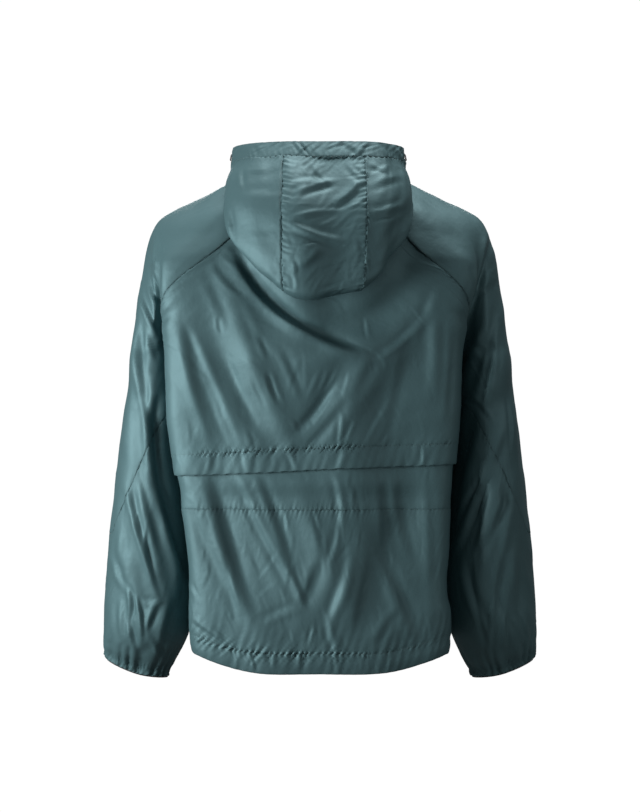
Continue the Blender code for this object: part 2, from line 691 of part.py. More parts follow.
def on_zip(name, bm, frame, finish):
    """Turn a piece from its own axes, across, along and out, to its place on the zip."""
    here, down, out = frame
    turn = Matrix(((1.0, 0.0, 0.0), tuple(down), tuple(out))).transposed().to_4x4()
    bmesh.ops.transform(bm, matrix=Matrix.Translation(tuple(here)) @ turn, verts=bm.verts)
    return add_object(name, bm, finish)


def make_slider(frame, finish):
    """The slider, with the small bridge that holds the tab's bar."""
    half, reach = SLIDER_SIZE[0] / 2, SLIDER_SIZE[1] / 2
    base = CHAIN_STAND + SEAM_GAP
    face = base + SLIDER_SIZE[2]
    bm = plate((-half, -BRIDGE_HALF, BRIDGE_HALF, half),
               (-reach, -BRIDGE_OUTER, -BRIDGE_INNER, BRIDGE_INNER, BRIDGE_OUTER, reach), base, face)
    bevelled(bm, [e for e in bm.edges if e.calc_face_angle() > 1.0], SLIDER_BEVEL, 2)
    bm.faces.ensure_lookup_table()
    feet = []
    for f in bm.faces:
        middle = f.calc_center_median()
        if middle.z > face - 1e-6 and abs(middle.x) < BRIDGE_HALF and BRIDGE_INNER < abs(middle.y) < BRIDGE_OUTER:
            feet.append(f)
    legs = bmesh.ops.extrude_discrete_faces(bm, faces=feet)["faces"]
    for vert in {v for f in legs for v in f.verts}:
        vert.co.z = face + HINGE_RISE
    near, far = sorted(legs, key=lambda f: f.calc_center_median().y)
    swept = bmesh.ops.spin(bm, geom=[near], cent=(0.0, 0.0, face + HINGE_RISE), axis=(1.0, 0.0, 0.0),
                           angle=-math.pi, steps=BRIDGE_STEPS)
    ends = [f for f in swept["geom_last"] if isinstance(f, bmesh.types.BMFace)]
    bmesh.ops.delete(bm, geom=ends + [near, far], context="FACES_ONLY")
    bmesh.ops.remove_doubles(bm, verts=bm.verts[:], dist=1e-7)
    return on_zip("zip_slider", bm, frame, finish)


def make_tab(frame, finish):
    """The pull tab: a plate with an eye, whose rounded bar hangs in the slider's bridge."""
    middle = CHAIN_STAND + SEAM_GAP + SLIDER_SIZE[2] + HINGE_RISE
    bm = plate((-TAB_HALF, -EYE_HALF, EYE_HALF, TAB_HALF), (-BAR_HALF, BAR_HALF, EYE_END, TAB_LENGTH),
               middle - BAR_HALF, middle + BAR_HALF, eye=(0.1, 0.0))
    for vert in bm.verts:
        if vert.co.y < BAR_HALF + 1e-7 and abs(vert.co.x) > EYE_HALF + 1e-7:
            vert.co.x = math.copysign(TAB_NECK_HALF, vert.co.x)
    bar = [e for e in bm.edges if lies_on(e, 1, -BAR_HALF) and not lies_on(e, 0, e.verts[0].co.x)]
    inner = [e for e in bm.edges if lies_on(e, 1, BAR_HALF) and e.calc_length() > 2 * EYE_HALF - 1e-6]
    corners = [e for e in bm.edges if lies_on(e, 1, TAB_LENGTH) and lies_on(e, 0, e.verts[0].co.x)
               and abs(e.verts[0].co.x) > EYE_HALF + 1e-7]
    bevelled(bm, bar + inner, BAR_ROUND, 3)
    bevelled(bm, corners, TAB_CORNER, 4)
    return on_zip("zip_pull", bm, frame, finish)


def make_zip(black, metal):
    for side, tag in ((1, "left"), (-1, "right")):
        zip_strip(side, f"zip_tape_{tag}", CHAIN_HALF + 0.3 * MM, TAPE_OUTER, WALL + SEAM_GAP,
                  TAPE_WALL, black)
    zip_chain(black)
    frame = zip_frame(SLIDER_ROW)
    make_slider(frame, metal)
    make_tab(frame, metal)


# ---------------------------------------------------------------- sleeves and cuffs

def sleeve_columns(q):
    """Places of the sleeve's columns: along the seam and the fold above the underarm, even below."""
    seam = raglan_place(UNDERARM - q) if q < 0 else SIDE
    half = spread((2.0, 3.0), (3, 2, 6), seam, OUTER, LEAST_ROOM)
    even = [mix(SIDE, OUTER, n / SLEEVE_HALF) for n in range(SLEEVE_HALF + 1)]
    share = ease(q / 1.2) if q > 0 else 0.0
    half = [mix(a, b, share) for a, b in zip(half, even)]
    return half + [CENTRE_FRONT - t for t in reversed(half[:-1])]


def make_sleeve(side, tag, finish):
    head_rows, ring_rows, lower_rows = HEAD_STEPS, 6, 8

    def upper_place(i, j):
        if j <= head_rows:
            q = -mix(NECK - UNDERARM, 0, j / head_rows)
            return side, sleeve_columns(q)[i], q
        share = (j - head_rows) / ring_rows
        t = sleeve_columns(share * 2)[i]
        return side, t, share * elbow_ring(t)

    outer, normals = panel(2 * SLEEVE_HALF, head_rows + ring_rows, upper_place, sleeve, 1)
    sections = rows_above()[::-1] + [0.0] * ring_rows
    edges = trim(trim(outer, ("first", "last"), raglan_trim(sections)), ("top",), ELBOW_TRIM)
    edges[:, head_rows:-1] = outer[:, head_rows:-1]
    cloth(f"sleeve_{tag}_upper", edges, normals, finish, closed_from=head_rows)

    def lower_place(i, j):
        t = sleeve_columns(4)[i]
        return side, t, mix(elbow_ring(t), GATHER_RING, j / lower_rows)

    outer, normals = panel(2 * SLEEVE_HALF, lower_rows, lower_place, sleeve, 1)
    edges = trim(trim(outer, ("bottom",), ELBOW_TRIM), ("top",), 2 * HALF_GAP)
    cloth(f"sleeve_{tag}_lower", edges, normals, finish, closed_from=0)


def make_cuff(side, tag, finish, black):
    columns, rows = 2 * CUFF_GATHERS, 4

    def place(i, j):
        return side, mix(SIDE, FRONT_SIDE, i / columns), mix(GATHER_RING, CUFF_RING, j / rows)

    outer, normals = panel(columns, rows, place, arm_ring, 1)
    depth = np.array([0.15, 0.7, 1.0, 1.0, 0.6]) * GATHER_DEPTH
    wave = np.array([-1.0 if i % 2 else 0.0 for i in range(columns + 1)])
    gathered = outer + normals * (wave[:, None] * depth[None, :])[:, :, None]
    thick = np.tile(np.array([WALL, WALL, WALL, CASING_WALL, CASING_WALL]), (columns + 1, 1))
    cloth(f"cuff_{tag}", trim(gathered, ("bottom",), 2 * HALF_GAP), normals, finish, thick, closed_from=0)
    make_elastic(side, tag, black)


def make_elastic(side, tag, black):
    """The edge of the elastic, a plain ring just below the casing."""
    columns = CUFF_GATHERS

    def place(i, j):
        return side, mix(SIDE, FRONT_SIDE, i / columns), mix(CUFF_RING - 0.1, CUFF_RING, j)

    outer, normals = panel(columns, 1, place, arm_ring, 1)
    down = np.array([unit(outer[i, 1] - outer[i, 0]) for i in range(columns + 1)])
    edge = outer[:, 1] - normals[:, 1] * GATHER_DEPTH
    outer[:, 0] = edge + down * SEAM_GAP
    outer[:, 1] = edge + down * (SEAM_GAP + ELASTIC_HEIGHT)
    cloth(f"cuff_elastic_{tag}", outer, normals, black, ELASTIC_WALL, closed_from=0)


# ---------------------------------------------------------------- the hood

HOOD_LAST = len(HOOD) - 1


def hood(side, u, v):
    """The hood's cloth: u from the centre front round to the centre back, v from neckline to edge."""
    row = Station(*hood_row(side, u))
    neck = body(side, clamp(row.neck, 0.0, CENTRE_FRONT), NECK) + np.array((0.0, 0.0, HOOD_NECK_LIFT))
    marks = np.array((
        neck,
        (side * row.in_x, row.in_y, row.in_z),
        (side * row.fold_x, row.fold_y, row.fold_z),
        (side * row.out_x, row.out_y, row.out_z),
        (side * row.rim_x, row.rim_y, row.rim_z),
    ))
    marks[:, 0] += HOOD_LEAN * np.array((0.0, 0.4, 1.0, 1.0, 1.0)) * ease(u / 3)
    ways = [unit(unit(marks[1] - marks[0]) + outwards(neck) + np.array((0.0, 0.0, 0.5)))]
    ways += [tangent(marks[k - 1], marks[k], marks[k + 1]) for k in (1, 2, 3)]
    ways.append(unit(marks[4] - marks[3]))
    k = min(max(int(v), 0), 3)
    return bezier(marks[k], ways[k], ways[k + 1], marks[k + 1], v - k)


def hood_row(side, u):
    """Hood station, mirrored past the centre back, with the right panel seam set further out."""
    rows = np.vstack((HOOD_ROWS, HOOD_ROWS[-2] * mirror_signs()))
    row = through(rows, u)
    if side < 0:
        near = max(0.0, 1 - abs(u - HOOD_SEAM_STATION))
        for name in ("in_x", "fold_x", "out_x", "rim_x"):
            row[Station._fields.index(name)] *= mix(1.0, HOOD_SEAM_RIGHT, near)
    return row


def mirror_signs():
    return np.array([-1.0 if name.endswith("_x") or name == "neck" else 1.0 for name in Station._fields])


def below_edge(side, u, distance):
    """Height count of the point that lies a distance below the edge of the face opening."""
    v, covered, step = 4.0, 0.0, 0.02
    here = hood(side, u, v)
    while covered < distance:
        v -= step
        there = hood(side, u, v)
        covered += float(np.linalg.norm(there - here))
        here = there
    return v


def hood_frame(side, u, v):
    """Point, outward normal and direction towards the edge on the hood's outer face."""
    step = 1e-4
    du = -step if u > HOOD_LAST - 0.5 else step
    dv = -step if v > 3.9 else step
    here = hood(side, u, v)
    along_u = (hood(side, u + du, v) - here) / du
    along_v = (hood(side, u, v + dv) - here) / dv
    return here, unit(np.cross(along_u, along_v)) * side, unit(along_v)


def hood_piece(name, stations, low, high, rows, finish, wall, edges):
    """A hood piece over a list of (side, station) columns, between two height counts a column."""
    outer = np.zeros((len(stations), rows + 1, 3))
    normals = np.zeros_like(outer)
    for i, (side, u) in enumerate(stations):
        for j in range(rows + 1):
            v = mix(low(side, u), high(side, u), j / rows)
            outer[i, j], normals[i, j], _ = hood_frame(side, u, v)
    cloth(name, trim(outer, edges, HOOD_TRIM), normals, finish, wall)


def make_hood(finish):
    side_columns, centre_half, rows = 11, 4, 12
    sides = [mix(0.0, HOOD_SEAM_STATION, n / side_columns) for n in range(side_columns + 1)]
    centre = [mix(HOOD_SEAM_STATION, HOOD_LAST, n / centre_half) for n in range(centre_half + 1)]
    left = [(1, u) for u in sides]
    right = [(-1, u) for u in sides]
    middle = [(1, u) for u in centre] + [(-1, u) for u in reversed(centre[:-1])]

    def neckline(side, u):
        return 0.0

    def band_seam(side, u):
        return below_edge(side, u, HOOD_BAND)

    def edge(side, u):
        return 4.0

    for name, stations, seams in (
        ("hood_left", left, ("last", "top")),
        ("hood_right", right, ("last", "top")),
        ("hood_centre", middle, ("first", "last", "top")),
    ):
        hood_piece(name, stations, neckline, band_seam, rows, finish, WALL, seams)
    around = left + middle[1:-1] + right[::-1]
    hood_piece("hood_band", around, band_seam, edge, 2, finish, CASING_WALL, ("bottom",))


def spun_ring(name, centre, axis, inner, outer, thick, finish):
    """A flat ring about an axis."""
    across = unit(np.cross(axis, (0.3, 0.2, 0.9)))
    bm = bmesh.new()
    corners = ((inner, 0), (outer, 0), (outer, thick * 0.6), (mix(inner, outer, 0.6), thick), (inner, thick))
    verts = [bm.verts.new(centre + across * r + axis * h) for r, h in corners]
    edges = [bm.edges.new((verts[k], verts[(k + 1) % len(verts)])) for k in range(len(verts))]
    bmesh.ops.spin(bm, geom=verts + edges, cent=centre, axis=axis, angle=math.tau, steps=18, use_merge=True)
    return add_object(name, bm, finish)


def make_hood_cord(side, tag, black, metal):
    """Two eyelets in the casing, and the short bar of elastic cord that is held between them."""
    ends = []
    for distance, place in zip(EYELET_FROM_EDGE, ("upper", "lower")):
        here, normal, _ = hood_frame(side, EYELET_STATION, below_edge(side, EYELET_STATION, distance))
        spun_ring(f"hood_eyelet_{tag}_{place}", here + normal * EYELET_CLEAR, normal, EYELET_HOLE,
                  EYELET_OUTER, EYELET_THICK, metal)
        ends.append((here, normal))
    along = unit(ends[1][0] - ends[0][0])
    leg = ((CORD_FOOT, 0.0), (CORD_STAND - CORD_BEND, 0.0), (CORD_STAND - 0.3 * CORD_BEND, 0.3 * CORD_BEND),
           (CORD_STAND, CORD_BEND))
    path = [ends[0][0] + ends[0][1] * rise + along * run for rise, run in leg]
    path += [ends[1][0] + ends[1][1] * rise - along * run for rise, run in reversed(leg)]
    curve = bpy.data.curves.new(f"hood_cord_{tag}", "CURVE")
    curve.dimensions = "3D"
    curve.bevel_depth = CORD_RADIUS
    curve.bevel_resolution = 2
    curve.use_fill_caps = True
    spline = curve.splines.new("POLY")
    spline.points.add(len(path) - 1)
    for point, place in zip(spline.points, path):
        point.co = (*place, 1.0)
    curve.materials.append(black)
    bpy.context.collection.objects.link(bpy.data.objects.new(f"hood_cord_{tag}", curve))


def clear_scene():
    for old in list(bpy.data.objects):
        bpy.data.objects.remove(old)


def main():
    clear_scene()
    nylon = material("teal_nylon", *CLOTH)
    black = material("black_trim", *TRIM_BLACK)
    nickel = material("nickel", *NICKEL, metallic=1.0)
    make_upper_back(nylon)
    make_inset(nylon)
    make_lower_back(nylon)
    for side, tag in ((1, "left"), (-1, "right")):
        front_panel(side, f"front_{tag}", nylon)
        make_sleeve(side, tag, nylon)
        make_cuff(side, tag, nylon, black)
        make_hood_cord(side, tag, black, nickel)
    make_zip(black, nickel)
    make_hood(nylon)


main()
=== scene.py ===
"""Hooded windbreaker with its hood down, hollow as if worn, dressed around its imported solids.

Metres, +Z up, +X the wearer's left, -Y the front. Each cut piece is a fine grid on the solid's own
form, given its folds, creases and seam puckers, and a thin wall. Trims, stitching and zip follow.
"""

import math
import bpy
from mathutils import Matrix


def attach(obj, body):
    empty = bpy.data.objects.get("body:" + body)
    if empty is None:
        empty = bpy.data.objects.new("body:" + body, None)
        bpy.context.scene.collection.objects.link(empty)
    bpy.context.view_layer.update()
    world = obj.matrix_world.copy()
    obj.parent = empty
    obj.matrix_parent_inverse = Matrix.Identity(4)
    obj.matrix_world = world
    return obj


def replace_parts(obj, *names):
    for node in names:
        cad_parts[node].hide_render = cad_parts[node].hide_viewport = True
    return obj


bl_info = {
    "name": "Hooded windbreaker",
    "version": (1, 0, 0),
    "blender": (4, 5, 0),
    "location": "View3D > Sidebar > Windbreaker",
    "description": "Builds the cloth, stitching, zip and trims of a hooded windbreaker and its studio",
    "category": "Add Mesh",
}

from collections import namedtuple

import bmesh
import bpy
import numpy as np
from mathutils import Matrix, Vector

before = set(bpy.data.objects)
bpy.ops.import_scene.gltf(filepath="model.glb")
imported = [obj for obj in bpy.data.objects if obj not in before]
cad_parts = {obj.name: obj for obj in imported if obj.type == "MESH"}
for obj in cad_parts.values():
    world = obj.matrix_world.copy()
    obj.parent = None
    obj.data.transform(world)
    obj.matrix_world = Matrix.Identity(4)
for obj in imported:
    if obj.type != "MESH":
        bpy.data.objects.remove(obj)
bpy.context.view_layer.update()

MM = 0.001
JACKET = "jacket"

# ---------------------------------------------------------------- form: the same tables as the solids

# Places on the body run from 0 at the centre back to 10 at the centre front, and its sections from 0
# at the hem to the neckline. A sleeve's places run from 3, at the inner line, round the back to 7.
SIDE, OUTER, FRONT_SIDE, CENTRE_FRONT = 3.0, 5.0, 7.0, 10.0
UNDERARM = 10
HEAD_STEPS, BACK_HALF, SLEEVE_HALF = 14, 12, 11
FRONT_AXIS, FRONT_DEPTH, FRONT_NECK_DROP = -0.005, 1.05, 0.065
TRUNK_HALF = 0.21, 0.125
BLADE_SHARE, BLADE_FALL, BLADE_RISE = 0.6, 0.18, 0.15
HANDLE = 0.36
LEAST_ROOM = 0.25
SEAM_LAP, CASING_LAP, NECK_LAP = -0.45 * MM, -1.6 * MM, -3.0 * MM

FLAP_Z, FLAP_TILT, FLAP_HEM, FLAP_LIFT = -0.4005, -0.04, 30 * MM, 2.5 * MM
FLAP_STITCH = 31 * MM
INSET_SINK, INSET_TOP_SINK = 3.6 * MM, 1.6 * MM
VENT_SEAM_Z = -0.459
CASING_TOP_ROW, CASING_PUFF = 1.0, 1.0 * MM
ZIP_HALF, ZIP_TOP_ROW = 4 * MM, 16.75
SLEEVE_REST, SLEEVE_CREASING = 9 * MM, 1.7
SLEEVE_AXIS = 0.256, -0.015
CUFF_GATHERS, GATHER_DEPTH = 19, 5.0 * MM
RUFFLE, RUFFLE_PITCH = 1.7 * MM, 7.5 * MM
HOOD_BAND, HOOD_SEAM_RIGHT = 27 * MM, 1.34
HOOD_LEAN, HOOD_NECK_LIFT, HOOD_TUCK, CORD_PUFF = 2.5 * MM, 0.9 * MM, 5.0 * MM, 0.7 * MM
BAND_PITCH, UPPER_PITCH, FOREARM_PITCH, HOOD_PITCH = 1.35, 1.5, 1.3, 0.88
FLOOR_Z = -1.42

# Columns that aren't lengths; every other column of a table is written in millimetres.
PLAIN = ("raglan", "neck", "turn")


def table(kind, *rows):
    """The rows of a table, its lengths in metres."""
    units = [1 if name in PLAIN else MM for name in kind._fields]
    return tuple(kind(*(round(value * one, 7) for value, one in zip(row, units))) for row in rows)


Section = namedtuple("Section", "back_y back_z crest_x crest_y crest_z side_x side_y side_z lean")
BODY = table(
    Section,
    (114, -696.5, 188.5, 70, -670, 181, -10, -662, -1),   # hem
    (116, -666.5, 190.5, 72, -648, 183, -10, -641, 0),    # casing seam
    (117, -621, 192, 74, -614, 184, -10, -612, 0),
    (115, -575, 188, 75, -575, 181, -10, -575, 3),
    (112, -520, 191.5, 75, -520, 182, -10, -520, 2.5),
    (112, -460, 197, 75, -460, 186, -9, -460, 6),    # vent seam
    (113, -430, 200, 75, -430, 188, -8, -430, 7),
    (114, -400, 205, 75, -400, 190, -8, -400, 8.8),   # flap edge
    (116, -345, 213.5, 76, -345, 196, -6, -345, 9.7),
    (119, -290, 216, 78, -290, 200, -3, -290, 10),
    (122, -235, 218, 80, -235, 202, 0, -235, 9.5),    # underarm
    (124, -190, 222, 86, -190, 216, 36, -194, 8),
    (124, -145, 228.5, 90, -142, 227.5, 62, -143, 7.5),
    (120, -100, 231, 88, -95, 236.5, 70, -91, 6),     # blade
    (112, -60, 205, 84, -58, 222, 66, -50, 3),
    (100, -22, 155, 80, -22, 174, 60, -18, 1),     # shoulder
    (88, 6, 110, 60, 8, 128, 44, 12, 0),
    (80, 30, 72, 50, 34, 86, 34, 39, 0),        # neckline
)
NECK = len(BODY) - 1

Head = namedtuple("Head", "back_x back_y back_z outer_x outer_y outer_z raglan")
HEAD = table(
    Head,
    (252, 62, -235, 287, -10, -235, 3),
    (247, 60, -186, 281, -7, -187, 2.25),
    (247, 56, -138, 273.5, -4, -140, 1.72),
    (249, 48, -80, 260, -1, -76, 1.25),
    (235, 38, -37, 240, 0, -31, 1),
    (187, 35, -11, 191, 0, -3.5, 0.97),
    (141, 24, 18, 143, 0, 19, 1),
    (96, 17, 43, 100, 0, 45, 1.03),
)

Ring = namedtuple("Ring", "inner_x inner_y inner_z outer_x outer_y outer_z mid_x back_y front_y")
ARM = table(
    Ring,
    (202, 0, -235, 287, -10, -235, 252, 62, -75.3),
    (208.5, -4, -290, 293.5, -14, -290, 253, 66, -86),
    (210, -10, -350, 300.5, -18, -350, 256, 66, -96),
    (203.5, -14, -420, 308.5, -22, -420, 256, 64, -104),
    (195, -18, -500, 318, -26, -500, 256, 60, -110),
    (190.5, -22, -585, 324.5, -30, -575, 257, 52, -110),
    (197.5, -26, -647, 327.5, -32, -632, 262, 42, -104),
    (213.5, -29, -686, 328.5, -34, -666, 267, 22, -88),
    (224.5, -31, -707, 327.5, -35, -681, 273, 3, -70),
    (227.5, -32, -717.5, 326.5, -35, -690, 274, -1, -66),
)
GATHER_RING = 6.85
CUFF_RING = float(len(ARM) - 1)
CUFF_SAG = 6 * MM
ELBOW_INNER_Z, ELBOW_FALL, ELBOW_BEND = -0.300, -0.090, -0.130

Station = namedtuple(
    "Station", "neck in_x in_y in_z fold_x fold_y fold_z out_x out_y out_z rim_x rim_y rim_z"
)
HOOD = table(
    Station,
    (9.93, 6, -98, -22, 6, -106, -10, 6, -111, 6, 6, -112, 30),
    (7.9, 82, -80, 18, 90, -85, 26, 94, -85, 36, 90, -86, 48),
    (5.6, 110, -14, 50, 122, -10, 45, 128, -8, 52, 120, -18, 65),
    (4.2, 115, 48, 32, 127, 68, 12, 128, 52, 36, 123.5, 28, 69),
    (2.5, 107, 100, -6, 126, 130, -60, 134.5, 114, -12, 123.5, 64, 71.5),
    (1.4, 80, 124, -50, 90, 152, -108, 108, 160, -40, 98, 96, 72.5),
    (0.6, 38, 134, -70, 45, 164, -149, 51, 184, -55, 49.5, 114, 73),
    (0, 0, 136, -74, 0, 168, -157, 0, 188, -60, 0, 118, 72.6),
)
HOOD_SEAM_STATION = 6
HOOD_LAST = len(HOOD) - 1
RIM = 4.0
HOOD_SEAMS = {"hood_left": ("last", "top"), "hood_right": ("last", "top"),
              "hood_centre": ("first", "last", "top"), "hood_band": ("bottom",)}

Fold = namedtuple("Fold", "x0 z0 x1 z1 x2 z2 reach depth")
BACK_FOLDS = table(
    Fold,
    (122, -85, 98, -170, 0, -200, 22, -11),
    (-135, -85, -120, -190, 0, -204, 22, -11),
    (90, -240, 0, -238, -90, -236, 24, 6),
    (165, -200, 125, -280, 70, -360, 20, -8),
    (120, -185, 90, -270, 45, -360, 18, 6),
    (-40, -235, -15, -290, 22, -365, 18, -6),
    (-170, -190, -110, -290, -10, -370, 24, -3),
    (-120, -210, -70, -290, 0, -365, 20, 3),
    (150, -430, 100, -520, 50, -640, 22, -6),
    (-140, -430, -90, -530, -60, -640, 24, -6),
    (30, -430, 10, -510, -50, -600, 20, 6),
)
SLEEVE_FOLDS = table(
    Fold,
    (260, -95, 264, -150, 254, -215, 15, -5),
    (288, -150, 272, -205, 248, -255, 18, -6),
    (292, -260, 268, -310, 240, -330, 19, -6),
    (240, -330, 238, -430, 230, -560, 20, -9),
    (262, -300, 268, -400, 275, -470, 17, -6),
    (278, -500, 262, -570, 250, -640, 17, -7),
    (300, -560, 292, -600, 284, -650, 16, -6),
)

# Creases seen square from the back or the front: a strip of cloth about a curve from start over
# bend to end that is turned by the slope `turn`, away from the upper left if above 0, towards it if
# below.
Crease = namedtuple("Crease", "x0 z0 x1 z1 x2 z2 reach turn")
BACK_CREASES = table(
    Crease,
    (127, -86, 101, -153, 25, -199, 10, 0.95),
    (80, -161, 15, -212, -62, -232, 10.5, -0.8),
    (-137.7, -190.8, -121.8, -216.7, -75.7, -239.8, 7, -0.45),
    (-165.1, -141.8, -153.5, -177.8, -136.2, -199.4, 8, -0.3),
    (-67, -182.1, -67, -195.1, -68.5, -209.5, 3.5, -0.45),
    (199.6, -192.2, 189.6, -260, 152.1, -362.3, 12, 0.5),
    (195.3, -187.9, 160.7, -260, 117.5, -365.2, 7, -0.3),
    (133.3, -235.5, 117.5, -288.8, 85.8, -343.6, 10, -0.28),
    (100.2, -268.6, 93, -288.8, 81.4, -309, 4, 0.42),
    (71.4, -260, 65.6, -283.1, 55.5, -303.2, 4, -0.45),
    (77.1, -262.9, 71.4, -285.9, 62.7, -303.2, 4, 0.45),
    (31, -349.4, 5, -326.3, -20.9, -283.1, 8, -0.65),
    (22.3, -366.7, -9.4, -340.7, -38.2, -294.6, 8, 0.5),
    (149.2, -180.7, 147.8, -190.8, 146.3, -203.8, 3.5, 0.4),
    (155, -101.4, 143.4, -127.4, 116, -147.6, 6, 0.35),
    (140.5, -88.5, 133.3, -98.5, 123.2, -108.6, 4, 0.35),
    (90.1, -208.1, 82.9, -224, 74.2, -239.8, 5, 0.4),
    (56.9, -228.3, 39.6, -260, 28.1, -297.5, 7, 0.32),
    (5, -260, 12.3, -277.3, 19.5, -294.6, 3.5, -0.32),
    (-9.4, -254.2, -3.6, -271.5, 3.6, -288.8, 3.5, -0.32),
    (-23.8, -254.2, -13.7, -274.4, -2.2, -290.3, 3.5, -0.38),
    (-41.1, -260, -38.2, -277.3, -32.4, -294.6, 3.5, -0.3),
    (-31, -323.4, -28.1, -340.7, -25.2, -363.8, 4, -0.55),
    (-48.3, -329.2, -42.5, -343.6, -35.3, -360.9, 3.5, -0.5),
    (-98.7, -300.4, -81.4, -329.2, -61.3, -366.7, 4.5, -0.3),
    (-98.7, -349.4, -93, -358, -87.2, -366.7, 3.5, -0.35),
    (-173.7, -182.1, -175.1, -236.9, -173.7, -297.5, 10, 0.22),
    (-147.8, -167.7, -146.3, -196.6, -142, -228.3, 8, 0.16),
    (-163.6, -156.2, -160.7, -221.1, -153.5, -297.5, 9, -0.12),
    (165.1, -127.4, 152.1, -156.2, 131.9, -199.4, 9, 0.2),
    (114.6, -156.2, 97.3, -199.4, 82.9, -221.1, 8, -0.16),
    (38.2, -329.2, 35.3, -336.4, 31, -343.6, 3.5, 0.4),
    (172.3, -271.5, 155, -329.2, 137.7, -368.1, 7, 0.22),
    (106, -343.6, 100.2, -355.1, 97.3, -369.5, 4.5, 0.3),
    (-80, -231.2, -61.3, -265.8, -44, -303.2, 10, 0.22),
    (-121.8, -231.2, -110.3, -288.8, -93, -358, 10, 0.2),
    (-191, -199.4, -188.1, -260, -183.8, -329.2, 7, 0.3),
    (111.7, -372.4, 110.3, -386.8, 108.8, -404.1, 5, -0.35),
    (94.4, -372.4, 97.3, -386.8, 100.2, -404.1, 5, 0.35),
    (48.3, -372.4, 42.5, -386.8, 35.3, -401.3, 4.5, -0.35),
    (-33.9, -371, -28.1, -386.8, -23.8, -401.3, 5.5, -0.4),
    (155, -375.3, 156.4, -389.7, 157.8, -405.6, 6, 0.25),
    (-147.8, -365.2, -148.5, -379.6, -147.8, -394, 3, -0.55),
)
LOWER_CREASES = table(
    Crease,
    (163.8, -410, 143.6, -502.4, 98.8, -614.9, 13, 0.62),
    (199.9, -412.9, 163.8, -509.6, 96, -635.1, 12, -0.22),
    (120.5, -410, 91.6, -485, 28.1, -591.8, 9, -0.42),
    (90.2, -410, 62.8, -473.5, 42.6, -539.9, 9, 0.48),
    (42.6, -539.9, 25.3, -583.2, 19.5, -597.6, 6, 0.4),
    (33.9, -600.5, 62.8, -606.3, 83, -620.7, 7, -0.3),
    (-19.5, -412.9, -33.9, -456.2, -25.3, -485, 7, -0.45),
    (-25.3, -485, -20.9, -511, -9.4, -537, 6, -0.35),
    (-39.7, -521.1, -35.4, -574.5, -9.4, -620.7, 10, -0.5),
    (-9.4, -620.7, -12.3, -640.9, -22.4, -661.1, 6.5, -0.5),
    (10.8, -627.9, 13.7, -640.9, 18, -653.9, 3.5, -0.55),
    (2.2, -531.2, 10.8, -560.1, 28.1, -597.6, 11, 0.32),
    (-87.3, -519.7, -107.5, -571.6, -140.7, -643.8, 11, 0.38),
    (-87.3, -415.8, -91.6, -462, -96, -513.9, 10, 0.3),
    (-67.1, -531.2, -61.3, -574.5, -46.9, -629.3, 10, 0.22),
    (-110.4, -412.9, -116.2, -473.5, -133.5, -531.2, 9, 0.28),
    (-156.6, -415.8, -162.3, -487.9, -162.3, -574.5, 9, 0.2),
    (57, -513.9, 74.3, -539.9, 94.5, -563, 3.5, -0.16),
    (68.5, -564.4, 80.1, -574.5, 94.5, -587.5, 3.5, -0.14),
    (188.3, -565.9, 185.4, -577.4, 178.2, -588.9, 4, 0.45),
    (186.9, -620.7, 169.6, -632.2, 143.6, -648.1, 5, 0.45),
    (153.7, -632.2, 145, -638, 137.8, -648.1, 4, 0.4),
    (97.4, -666.9, 96, -678.4, 93.1, -690, 3.5, 0.55),
    (71.4, -664, 70, -675.5, 68.5, -690, 4, -0.3),
    (-19.5, -666.9, -20.9, -678.4, -22.4, -691.4, 4, -0.4),
    (28.1, -661.1, 25.3, -675.5, 28.1, -691.4, 5, 0.3),
    (132, -531.2, 129.1, -574.5, 117.6, -617.8, 6, -0.2),
    (-46.9, -424.4, -52.7, -444.6, -52.7, -473.5, 5, 0.28),
    (7.9, -473.5, 2.2, -495.1, -0.7, -519.7, 6, 0.25),
    (52.7, -462, 49.8, -473.5, 48.3, -487.9, 3.5, -0.4),
    (9.4, -462, 5.1, -473.5, 2.2, -487.9, 3.5, -0.4),
    (-113.3, -603.4, -87.3, -632.2, -75.8, -655.3, 8, 0.26),
    (178.2, -444.6, 166.7, -473.5, 160.9, -502.4, 8, 0.18),
)
